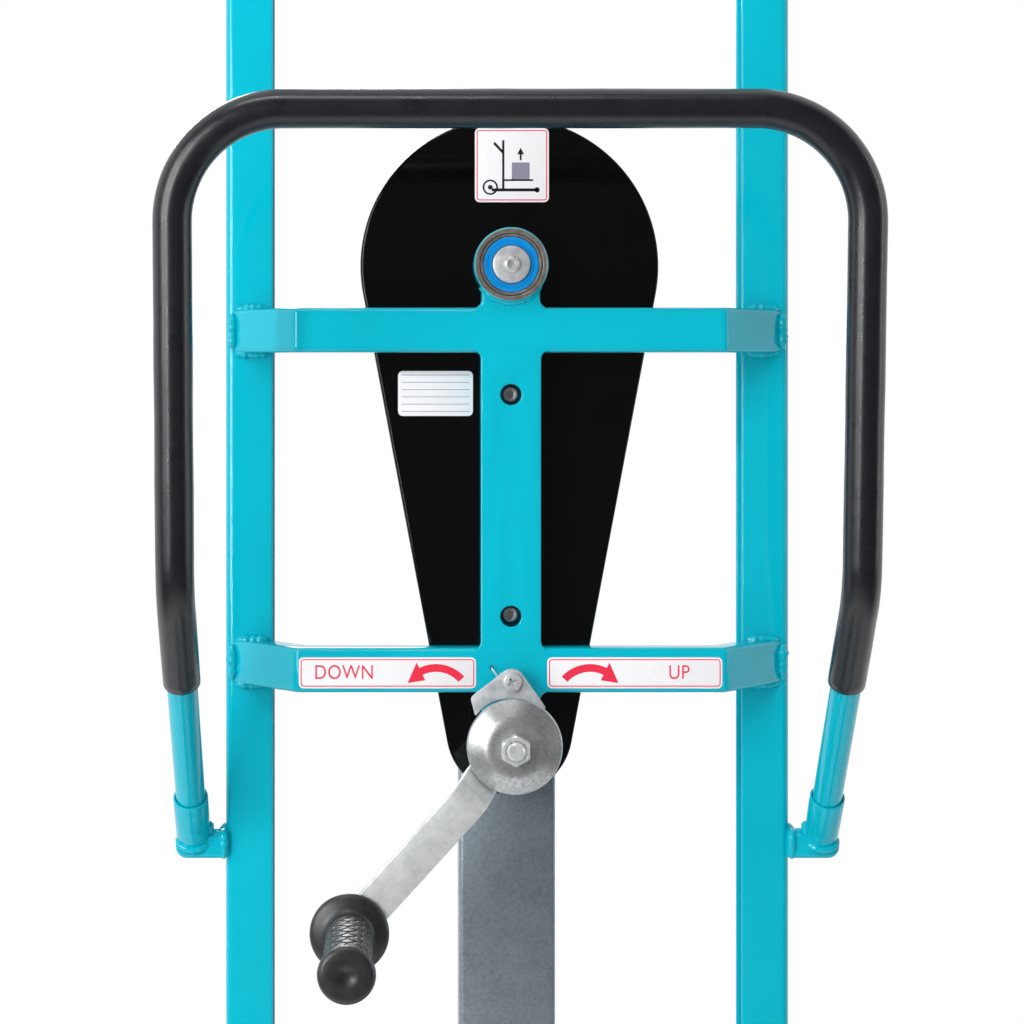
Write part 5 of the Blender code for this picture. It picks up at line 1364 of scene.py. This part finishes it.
def makeGrip(tipX, tipZ):
    front, rear = setbacksOf("crank_grip")
    bore = grip["bore"]
    start, stop = front + 0.0095, rear - 0.0105
    profile = [
        (bore, front + 0.0002),
        (0.0230, front),
        (0.0245, front + 0.0002),
        (0.0255, front + 0.0012),
        (0.0255, front + 0.0024),
        (0.0245, front + 0.0038),
        (0.0215, front + 0.0052),
        (0.0180, front + 0.0062),
        (0.0155, front + 0.0074),
        (0.0146, front + 0.0088),
    ]
    count = grip["levels"]
    profile += [(grip["barrel"], start + (stop - start) * k / count) for k in range(count + 1)]
    profile += [
        (0.0148, rear - 0.0092),
        (0.0165, rear - 0.0080),
        (0.0175, rear - 0.0064),
        (0.0177, rear - 0.0044),
        (0.0173, rear - 0.0022),
        (0.0162, rear - 0.0007),
        (0.0146, rear),
        (0.0080, rear - 0.0002),
        (0.0060, rear - 0.0004),
        (0.0042, rear - 0.0012),
        (0.0022, rear - 0.0018),
        (0, rear - 0.0020),
    ]
    inside = [(0, rear - 0.0031), (bore, rear - 0.0031)]

    def leaves(angle, radius, height):
        # raised leaf shapes in offset rows around the barrel
        if not start <= height <= stop or radius < grip["barrel"]:
            return radius
        v = (height - start) / (stop - start) * grip["rows"]
        u = angle / (2 * math.pi) * grip["around"] + (0.5 if int(v) % 2 else 0)
        along = v % 1 - 0.5
        across = abs(u % 1 - 0.5)
        room = grip["leafRoom"] * (1 - (2 * abs(along)) ** grip["leafCurve"])
        edge = min(1.0, max(0.0, (room - across) * grip["steep"]))
        fade = min(1.0, (height - start) / grip["fade"], (stop - height) / grip["fade"])
        swell = grip["swell"] * math.sin(math.pi * (height - start) / (stop - start))
        return radius + swell + grip["relief"] * (edge - grip["leafShare"]) * max(fade, 0)

    mesh = turnedMesh("leafTexturedGrip", profile + inside, 200, True, leaves)
    addPiece("leafTexturedGrip", mesh, gripRubber, "grip", ["crank_grip"], facing(tipX, tipZ), 45)


# pawl with its screw and spring
pawl = {
    "z": 0.8375,
    "front": 0.0589,
    "thickness": 0.004,
    "nose": (0.0224, -0.017),
    "tail": (-0.0275, -0.0105),
    "hub": 0.0085,
    "relief": 0.0264,
    "reliefShift": 0.0024,
    "head": 0.0061,
    "cap": 0.0036,
    "recess": 0.0016,
    "slotHalf": 0.0007,
    "slotReach": 0.0031,
    "slotTurn": 28,
    "noseReach": 0.0233,
    "noseArc": (45, 40),
    "reliefArc": (146, 50),
    "hole": 0.0033,
    "edge": 0.0005,
    "play": 0.0003,
    "shank": 0.003,
    "collar": 0.005,
    "collarFront": 0.0503,
}
spring = {
    "wire": 0.0006,
    "coil": 0.007,
    "steps": 44,
    "coilFront": 0.0538,
    "coilRise": 0.0040,
    "bend": 0.0008,
    "leg": [
        (-0.0129, 0.008, 0.046),
        (-0.0129, 0.008, 0.0508),
        (-0.0122, 0.0068, 0.0530),
        (-0.0108, 0.0048, 0.0536),
        (-0.0085, 0.0012, 0.0540),
    ],
    "end": [(-0.0070, 0.0030, 0.0578), (-0.0070, 0.0055, 0.0578)],
}


def tangentAt(corner, radius, turn):
    # where, in degrees, a line from the corner touches the circle around zero
    toward = math.degrees(math.atan2(corner[1], corner[0])) % 360
    return toward + turn * math.degrees(math.acos(radius / math.hypot(*corner)))


def makePawl():
    p = pawl
    place = facing(0, p["z"])
    centre = (0, crankZ - p["z"])
    hub = p["hub"]
    arc = arcPoints((0, 0), hub, tangentAt(p["nose"], hub, 1) - 360, tangentAt(p["tail"], hub, -1), 20)
    relief = arcPoints((-p["reliefShift"], centre[1]), p["relief"], *p["reliefArc"], 24)
    nose = arcPoints(centre, p["noseReach"], *p["noseArc"], 2)
    rounded = softened([arc[-1], p["tail"], relief[0], relief[3]], [0, 0.004, 0.0006, 0], 8)[1:-1]
    outline = arc + [tuple(point) for point in rounded] + relief[4:] + nose
    tip = softened([nose[-1], p["nose"], arc[0]], [0, 0.0012, 0], 4)[1:-1]
    outline += [tuple(point) for point in tip]
    hole = ringPoints((0, 0), p["hole"], 32)
    back = p["front"] + p["thickness"]
    mesh = plateMesh("ratchetPawlPlate", [outline, hole], p["front"], back, p["edge"], 2)
    addPiece("ratchetPawlPlate", mesh, plateZinc, "pawl", ["pawl"], place, 40)

    front, rear = setbacksOf("pawl_screw")
    head, shank, collar = p["head"], p["shank"], p["collar"]
    under = p["front"] - p["play"]
    seat = back + p["play"]
    top = softened([(head, seat + 0.0005), (head, rear - 0.0003), (p["cap"], rear)], [0, 0.0014, 0], 7)
    floor = rear - p["recess"]
    profile = [(0, floor), (p["cap"], floor)] + [(q.x, q.y) for q in reversed(top)]
    profile += [(head - 0.0004, seat), (shank, seat), (shank, under), (collar, under)]
    profile += [(collar, p["collarFront"]), (shank, p["collarFront"]), (shank, front), (0, front)]
    mesh = turnedMesh("panHeadPivotScrew", profile, 72)
    addPiece("panHeadPivotScrew", mesh, boltZinc, "chassis", ["pawl_screw"], place)
    wide, long = p["slotHalf"], p["slotReach"]
    cross = []
    for turn in range(4):
        for x, y in ((long, -wide), (long, wide), (wide, wide)):
            angle = math.radians(90 * turn + p["slotTurn"])
            cosine, sine = math.cos(angle), math.sin(angle)
            cross.append((x * cosine - y * sine, x * sine + y * cosine))
    face = [ringPoints((0, 0), p["cap"] + 0.0002, 48), cross]
    mesh = plateMesh("crossRecessFace", face, floor, rear + 0.00004, 0.0002, 2)
    addPiece("crossRecessFace", mesh, boltZinc, "chassis", (), place, 40)

    points = list(spring["leg"])
    coil = arcPoints((0, 0), spring["coil"], 172, 180 - 720, spring["steps"])
    for k, (x, y) in enumerate(coil):
        points.append((x, y, spring["coilFront"] + spring["coilRise"] * k / (len(coil) - 1)))
    points += spring["end"]
    path = softened([place @ Vector(point) for point in points], spring["bend"], 3)
    wire = spring["wire"]
    section = [(wire * math.cos(a), wire * math.sin(a)) for a in (math.pi * k / 5 for k in range(10))]
    mesh = sweptMesh("pawlSpringWire", path, lambda i: section)
    addPiece("pawlSpringWire", mesh, boltZinc, "chassis", ["pawl_spring"], None, 60)


# labels, kept generic
label = {
    "thickness": 0.0002,
    "corner": 0.0032,
    "line": 0.0007,
    "inset": 0.0012,
    "edge": 0.00005,
    "sunk": 0.00002,
    "lift": 0.0001,
    "barLow": 0.8316,
    "barHigh": 0.8523,
    "wordHeight": 0.0094,
    "wordWidth": 0.86,
    "capShare": 0.70,  # the height of a capital as a share of the font's size
    "plateLines": 6,
    "plateSpacing": 0.0049,
}


def rectangle(x0, y0, x1, y1):
    return [(x0, y0), (x1, y0), (x1, y1), (x0, y1)]


def roundedRectangle(low, high, inset, corner):
    corners = rectangle(low[0] + inset, low[1] + inset, high[0] - inset, high[1] - inset)
    return softened(corners, max(corner - inset, 0.0003), 6, True)


def sticker(name, low, high, setback, bordered=True):
    t = label["thickness"]
    base = roundedRectangle(low, high, 0, label["corner"])
    mesh = plateMesh(name, [base], setback, setback + t, label["edge"], 1)
    addPiece(name, mesh, whiteVinyl, "chassis", (), facing(0, 0))
    if bordered:
        outer = roundedRectangle(low, high, label["inset"], label["corner"])
        inner = roundedRectangle(low, high, label["inset"] + label["line"], label["corner"])
        low, high = setback + t - label["sunk"], setback + t + 0.00004
        mesh = plateMesh(name + "Border", [outer, inner], low, high)
        addPiece(name + "Border", mesh, redInk, "chassis", (), facing(0, 0))


def printed(name, loops, setback, ink):
    # ink that stands a hair proud of its label
    top = setback + label["thickness"]
    mesh = plateMesh(name, loops, top - label["sunk"], top + 0.00005)
    addPiece(name, mesh, ink, "chassis", (), facing(0, 0))


def curvedArrow(centre, radius, band, start, end, head, point):
    # a band from start to end, with its head past the end
    outer = arcPoints(centre, radius + band / 2, start, end, 24)
    inner = arcPoints(centre, radius - band / 2, end, start, 24)
    tip = arcPoints(centre, radius, point, point, 1)[0]
    wide = arcPoints(centre, radius + head, end, end, 1)[0]
    narrow = arcPoints(centre, radius - head, end, end, 1)[0]
    return outer + [wide, tip, narrow] + inner


def printedWord(name, word, x, z, setback, ink):
    curve = bpy.data.curves.new(name, "FONT")
    curve.body = word
    curve.size = label["wordHeight"] / label["capShare"]
    curve.align_x = "CENTER"
    curve.align_y = "CENTER"
    curve.extrude = 0.00004
    curve.resolution_u = 6
    curve.space_character = 1.05
    holder = bpy.data.objects.new(name, curve)
    scene.collection.objects.link(holder)
    bpy.context.view_layer.update()
    graph = bpy.context.evaluated_depsgraph_get()
    mesh = bpy.data.meshes.new_from_object(holder.evaluated_get(graph))
    bpy.data.objects.remove(holder)
    mesh.materials.clear()
    place = facing(x, z, setback + label["thickness"]) @ Matrix.Diagonal((label["wordWidth"], 1, 1, 1))
    addPiece(name, mesh, ink, "chassis", (), place)


def makeLabels():
    rear = winchFrame["setback"] + label["lift"]
    low, high = label["barLow"], label["barHigh"]
    middle = (low + high) / 2
    sticker("downLabel", (-0.1413, low), (-0.0233, high), rear)
    sticker("upLabel", (0.0241, low), (0.1407, high), rear)
    printedWord("downWord", "DOWN", -0.1112, middle, rear, redInk)
    printedWord("upWord", "UP", 0.1118, middle, rear, redInk)
    down = curvedArrow((-0.0500, middle - 0.0195), 0.0228, 0.0052, 42, 116, 0.0066, 146)
    up = [(2 * 0.0013 - x, y) for x, y in down]  # mirrored about the middle between the labels
    printed("downArrow", [down], rear, redInk)
    printed("upArrow", [up], rear, redInk)

    # a generic lift with a load and an arrow
    caseRear = setbacksOf("chain_case_cover")[1] + label["lift"]
    sticker("loadLabel", (-0.0234, 1.1567), (0.0265, 1.2066), caseRear)
    hub = (-0.0130, 1.1668)
    icon = [
        ("iconMast", [rectangle(-0.0050, 1.1660, -0.0035, 1.1985)], darkInk),
        ("iconFoot", [rectangle(-0.0120, 1.1640, 0.0190, 1.1660)], darkInk),
        ("iconGrip", [[(-0.0110, 1.1960), (-0.0100, 1.1975), (-0.0045, 1.1915), (-0.0045, 1.1890)]], darkInk),
        ("iconFork", [rectangle(-0.0035, 1.1710, 0.0160, 1.1722)], darkInk),
        ("iconLoad", [rectangle(0.0015, 1.1722, 0.0135, 1.1835)], greyInk),
        ("iconWheel", [ringPoints(hub, 0.0052, 32), ringPoints(hub, 0.0040, 32)], darkInk),
        ("iconHub", [ringPoints(hub, 0.0016, 20)], darkInk),
        ("iconRoller", [ringPoints((0.0185, 1.1650), 0.0018, 20)], darkInk),
        ("iconArrowHead", [[(0.0052, 1.1890), (0.0098, 1.1890), (0.0075, 1.1935)]], darkInk),
        ("iconArrowStem", [rectangle(0.0069, 1.1850, 0.0081, 1.1890)], darkInk),
    ]
    for name, loops, ink in icon:
        printed(name, loops, caseRear, ink)

    # a plain plate with ruled lines
    sticker("plainPlate", (-0.0752, 1.0126), (-0.0247, 1.0429), caseRear, False)
    for k in range(label["plateLines"]):
        z = 1.0155 + label["plateSpacing"] * k
        line = rectangle(-0.0728, z, -0.0270, z + 0.0004)
        printed("plainPlateLine" + str(k), [line], caseRear, greyInk)


# wheels
wheel = {
    "rim": 0.066,
    "seam": 0.0003,
    "tread": (0.86, 0.80, 0.78, 0.70, 0.52, 0.50, 0.46, 0.44, 0.22, 0.20, 0.16, 0.14, 0.0),
    "grooves": (0.50, 0.46, 0.20, 0.16),  # the places in the tread that are cut in
    "grooveDepth": 0.0028,
    "crown": 0.0072,
    "blocks": 36,
    "blockGap": 0.22,
    "blockDepth": 0.0024,
    "plate": 0.0015,
    "dish": 0.014,
    "hub": 0.034,
    "hubRadius": 0.021,
    "bore": 0.0103,
    "bolts": 5,
    "boltCircle": 0.029,
}


def wheelSize(node):
    # middle, radius and half width
    low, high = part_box(node)
    return (low + high) / 2, (high.z - low.z) / 2, (high.x - low.x) / 2


def makeTyre(sideName):
    w = wheel
    seam = w["rim"] + w["seam"]
    centre, radius, half = wheelSize(sideName + "_tyre")
    sideWall = [
        (seam, half - 0.006),
        (w["rim"] + 0.004, half - 0.0032),
        (w["rim"] + 0.012, half - 0.0012),
        (w["rim"] + 0.026, half - 0.0004),
        (radius - 0.024, half - 0.0012),
        (radius - 0.014, half - 0.0052),
    ]
    for x in w["tread"]:
        crown = radius - w["crown"] * x ** 3 - (w["grooveDepth"] if x in w["grooves"] else 0)
        sideWall.append((crown, half * x))
    mirrored = [(r, -x) for r, x in reversed(sideWall[:-1])]
    inside = [
        (seam, -half + 0.012),
        (radius - 0.02, -half + 0.014),
        (radius - 0.011, 0),
        (radius - 0.02, half - 0.014),
        (seam, half - 0.012),
    ]

    def blocks(angle, r, height):
        # gaps between the outer blocks, set off by half a block from side to side
        if r < radius - 0.012 or abs(height) < 0.2 * half:
            return r
        phase = (angle * w["blocks"] / (2 * math.pi) + (0.5 if height > 0 else 0)) % 1
        return r - (w["blockDepth"] if phase < w["blockGap"] and abs(height) > 0.5 * half else 0)

    mesh = turnedMesh(sideName + "Tyre", sideWall + mirrored + inside, 216, True, blocks)
    place = alongX(*centre)
    addPiece(sideName + "Tyre", mesh, tyreRubber, sideName + "_wheel", [sideName + "_tyre"], place, 40)
    return place, half


def makeRim(side, sideName, place, tyreHalf):
    w = wheel
    rim, plate, hub, hubRadius, bore = w["rim"], w["plate"], w["hub"], w["hubRadius"], w["bore"]
    lip = wheelSize(sideName + "_rim")[2]
    dish = w["dish"] * side
    profile = [
        (rim - 0.001, lip),
        (rim, lip - 0.001),
        (rim - 0.0005, tyreHalf - 0.007),
        (rim - 0.0005, 0.007 - tyreHalf),
        (rim, 0.001 - lip),
        (rim - 0.001, -lip),
        (rim - 0.003, -lip + 0.001),
        (rim - 0.003, dish - plate),
        (0.050, dish - plate),
        (0.036, -plate),
        (hubRadius, -plate),
        (hubRadius, -hub + 0.001),
        (0.020, -hub),
        (bore, -hub),
        (bore, hub),
        (0.020, hub),
        (hubRadius, hub - 0.001),
        (hubRadius, plate),
        (0.0355, plate),
        (0.0495, dish + plate),
        (rim - 0.003, dish + plate),
        (rim - 0.003, lip - 0.001),
    ]
    mesh = turnedMesh(sideName + "Rim", profile, 96, True)
    body = sideName + "_wheel"
    addPiece(sideName + "Rim", mesh, plateZinc, body, [sideName + "_rim"], place)
    for k in range(w["bolts"]):
        angle = 2 * math.pi * k / w["bolts"]
        spot = Matrix.Translation((w["boltCircle"] * math.cos(angle), w["boltCircle"] * math.sin(angle), 0))
        for face, faceName in ((1, "A"), (-1, "B")):
            top, shoulder, foot = face * 0.0052, face * 0.0046, face * 0.0012
            bolt = [(0, top), (0.0036, top), (0.0044, shoulder), (0.0044, foot), (0, foot)]
            name = f"{sideName}HubBolt{k}{faceName}"
            addPiece(name, turnedMesh(name, bolt, 6), boltZinc, body, (), place @ spot, 20)


def makeFrontRoller(sideName):
    body = sideName + "_front_roller"
    centre, radius, half = wheelSize(body)
    profile = [
        (0.0053, half),
        (0.0115, half),
        (0.0125, half - 0.001),
        (0.0135, half - 0.004),
        (0.030, half - 0.004),
        (0.031, half - 0.001),
        (0.032, half),
        (radius - 0.002, half),
        (radius - 0.0005, half - 0.001),
        (radius, half - 0.0028),
    ]
    profile += [(r, -x) for r, x in reversed(profile)]
    mesh = turnedMesh(sideName + "FrontRoller", profile, 96, True)
    addPiece(sideName + "FrontRoller", mesh, greyNylon, body, [body], alongX(*centre))


def makeWheels():
    for side, sideName in ((-1, "left"), (1, "right")):
        place, tyreHalf = makeTyre(sideName)
        makeRim(side, sideName, place, tyreHalf)
        makeFrontRoller(sideName)


makePosts()
makeCrossbars()
makeCentreBar()
makeHousings()
print("frame welded")
makeShaftEnd()
makeCase()
makeGuard()
print("case and guard made")
makeHandle()
print("handle made")
gripX, gripZ = makeCrankArm()
makeCover()
makeGrip(gripX, gripZ)
makePawl()
print("crank made")
makeLabels()
makeWheels()
print("labels and wheels made")

# CAD nodes whose shape is right
nodeFinishes = {
    "top_crossbar": paint,
    "base_crossbar": paint,
    "left_leg": paint,
    "right_leg": paint,
    "left_carriage_plate": paint,
    "right_carriage_plate": paint,
    "lower_carriage_beam": paint,
    "upper_carriage_beam": paint,
    "left_platform_arm": paint,
    "right_platform_arm": paint,
    "platform_deck": paint,
    "rear_axle": boltZinc,
    "chain_case_plate": guardZinc,
    "front_bearing_flange": turnedSteel,
    "drive_chain": turnedSteel,
    "large_sprocket": turnedSteel,
    "small_sprocket": turnedSteel,
    "drum_shaft": turnedSteel,
    "belt_drum": plateZinc,
    "belt_winding": belt,
    "lift_belt": belt,
    "belt_clamp": plateZinc,
    "ratchet_wheel": plateZinc,
    "left_lower_guide_roller": blackNylon,
    "left_upper_guide_roller": blackNylon,
    "right_lower_guide_roller": blackNylon,
    "right_upper_guide_roller": blackNylon,
}
for nodeName, finish in nodeFinishes.items():
    dressNode(nodeName, finish)

# the strap, a box cut into short lengths along its height
beltLow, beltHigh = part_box("lift_belt")
beltMiddle = (beltLow + beltHigh) / 2
beltCuts = 60
beltLength = beltHigh.z - beltLow.z
beltMesh = bpy.data.meshes.new("liftBeltStrap")
strap = bmesh.new()
bmesh.ops.create_cube(strap, size=1)
bmesh.ops.scale(strap, vec=beltHigh - beltLow, verts=strap.verts)
bmesh.ops.translate(strap, vec=beltMiddle, verts=strap.verts)
uprights = [e for e in strap.edges if abs(e.verts[0].co.z - e.verts[1].co.z) > beltLength / 2]
bmesh.ops.subdivide_edges(strap, edges=uprights, cuts=beltCuts)
strap.to_mesh(beltMesh)
strap.free()
strapPiece = addPiece("liftBeltStrap", beltMesh, belt, "chassis", ["lift_belt"])
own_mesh(strapPiece)
print("finishes given")


studio = {
    "fill": 0.32,
    "roomDark": 0.05,  # the room as gloss sees it, at the sides and behind the operator
    "roomFront": 0.12,
    "roomSpan": (-0.35, 0.15),  # from dark to white, by how far a direction leans toward the load
    "frontSpan": (-1, -0.5),
    "paper": "F4F4F4",
    "grain": 0.01,
    "floorRadius": 9.0,
    "fadeStart": 0.6,
    "fadeEnd": 1.6,
}


def seenDirectly(tree):
    # 1 for the eye, for a reflection and through glass, 0 for soft light
    rays = addNode(tree, "ShaderNodeLightPath")
    share = rays.outputs["Is Camera Ray"]
    for kind in ("Is Glossy Ray", "Is Transmission Ray"):
        links = {0: share, 1: rays.outputs[kind]}
        share = addNode(tree, "ShaderNodeMath", {"operation": "MAXIMUM"}, links).outputs[0]
    return share


def backdropLevel(tree, direction):
    # white paper behind the lift, a dim room behind the operator and dark sides
    # the eye always meets white
    parts = addNode(tree, "ShaderNodeSeparateXYZ", None, {0: direction})
    low, high = studio["roomSpan"]
    limits = {"From Min": low, "From Max": high, "To Min": studio["roomDark"]}
    room = addNode(tree, "ShaderNodeMapRange", limits, {"Value": parts.outputs["Y"]})
    low, high = studio["frontSpan"]
    limits = {"From Min": low, "From Max": high, "To Min": studio["roomFront"], "To Max": studio["roomDark"]}
    front = addNode(tree, "ShaderNodeMapRange", limits, {"Value": parts.outputs["Y"]})
    links = {0: front.outputs[0], 1: room.outputs[0]}
    around = addNode(tree, "ShaderNodeMath", {"operation": "MAXIMUM"}, links)
    links = {0: addNode(tree, "ShaderNodeLightPath").outputs["Is Camera Ray"], 1: around.outputs[0]}
    return addNode(tree, "ShaderNodeMath", {"operation": "MAXIMUM"}, links).outputs[0]


def makeStudio():
    floorMesh = bpy.data.meshes.new("studioFloor")
    rim = ringPoints((0, 0), studio["floorRadius"], 96)
    floorMesh.from_pydata([(x, y, 0) for x, y in rim], [], [range(96)])
    floorPiece = bpy.data.objects.new("studioFloor", floorMesh)
    scene.collection.objects.link(floorPiece)
    # matt white studio paper, which keeps the shadow and runs out to plain white
    settings = {"Base Color": linear(studio["paper"])}
    paper, tree, shader, place = newMaterial("mattStudioPaper", "", settings)
    grain = addNode(tree, "ShaderNodeTexNoise", {"Scale": 1 / studio["grain"]}, {"Vector": place})
    limits = {**noiseMiddle, "To Min": 0.85, "To Max": 0.95}
    rough = addNode(tree, "ShaderNodeMapRange", limits, {"Value": grain.outputs["Fac"]})
    dressShader(tree, shader, {"Roughness": rough.outputs[0]})
    away = addNode(tree, "ShaderNodeVectorMath", {"operation": "LENGTH"}, {0: place})
    limits = {"From Min": studio["fadeStart"], "From Max": studio["fadeEnd"]}
    smooth = {"interpolation_type": "SMOOTHSTEP", **limits}
    fade = addNode(tree, "ShaderNodeMapRange", smooth, {"Value": away.outputs["Value"]})
    outward = addNode(tree, "ShaderNodeVectorMath", {"operation": "NORMALIZE"}, {0: place})
    level = {"Strength": backdropLevel(tree, outward.outputs["Vector"])}
    white = addNode(tree, "ShaderNodeEmission", {"Color": (1, 1, 1, 1)}, level)
    links = {0: fade.outputs[0], 1: seenDirectly(tree)}
    share = addNode(tree, "ShaderNodeMath", {"operation": "MULTIPLY"}, links)
    surface = {0: share.outputs[0], 1: shader.outputs[0], 2: white.outputs[0]}
    mix = addNode(tree, "ShaderNodeMixShader", None, surface)
    tree.links.new(mix.outputs[0], tree.nodes["Material Output"].inputs["Surface"])
    floorMesh.materials.append(paper)

    world = bpy.data.worlds.new("studio")
    scene.world = world
    world.use_nodes = True
    tree = world.node_tree
    tree.nodes.clear()
    direction = addNode(tree, "ShaderNodeTexCoord").outputs["Generated"]
    level = {"Strength": backdropLevel(tree, direction)}
    backdrop = addNode(tree, "ShaderNodeBackground", {"Color": (1, 1, 1, 1)}, level)
    fill = addNode(tree, "ShaderNodeBackground", {"Color": (1, 1, 1, 1), "Strength": studio["fill"]})
    surface = {0: seenDirectly(tree), 1: fill.outputs[0], 2: backdrop.outputs[0]}
    mix = addNode(tree, "ShaderNodeMixShader", None, surface)
    addNode(tree, "ShaderNodeOutputWorld", None, {"Surface": mix.outputs[0]})

    lamps = {
        "keySoftbox": {"at": (-2.05, -1.75, 1.45), "size": (0.8, 1.6), "power": 25},
        "edgeStrip": {"at": (-1.42, -2.3, 1.25), "size": (0.1, 1.6), "power": 19},
        "frontSoftbox": {"at": (-0.7, -2.2, 2.8), "size": (1.5, 0.25), "power": 27},
        "highStrip": {"at": (-0.5, -1.2, 3.2), "size": (1.4, 0.1), "power": 10},
        "rightStrip": {"at": (2.1, -0.5, 1.3), "size": (0.06, 1.6), "power": 4},
        "backSoftbox": {"at": (-0.6, 2.3, 2.2), "size": (1.2, 0.8), "power": 44},
    }
    aim = Vector((0, mastY, 0.95))
    for name, lamp in lamps.items():
        light = bpy.data.lights.new(name, "AREA")
        light.shape = "RECTANGLE"
        light.size, light.size_y = lamp["size"]
        light.energy = lamp["power"]
        holder = bpy.data.objects.new(name, light)
        holder.location = lamp["at"]
        holder.rotation_euler = (aim - holder.location).to_track_quat("-Z", "Y").to_euler()
        holder.visible_glossy = name != "frontSoftbox"  # in gloss it would whiten the cover's top
        scene.collection.objects.link(holder)


# camera, at the photograph's own place: it looks straight at the mast and its lens is shifted
shot = {
    "x": -0.0806,
    "z": 1.0436,
    "distance": 1.660,
    "aimX": 390,
    "aimY": 370,
    "focalPixels": 2418,
    "pixels": 1024,
    "sensor": 36,
}


def makeCamera():
    camera = bpy.data.cameras.new("photoCamera")
    camera.sensor_width = shot["sensor"]
    camera.lens = shot["focalPixels"] / shot["pixels"] * camera.sensor_width
    camera.shift_x = 0.5 - shot["aimX"] / shot["pixels"]
    camera.shift_y = shot["aimY"] / shot["pixels"] - 0.5
    camera.clip_start = 0.01
    camera.clip_end = 100
    holder = bpy.data.objects.new("photoCamera", camera)
    holder.location = (shot["x"], mastY - shot["distance"], shot["z"])
    holder.rotation_euler = (math.pi / 2, 0, 0)
    scene.collection.objects.link(holder)
    scene.camera = holder


makeStudio()
makeCamera()
scene.view_settings.view_transform = "Standard"
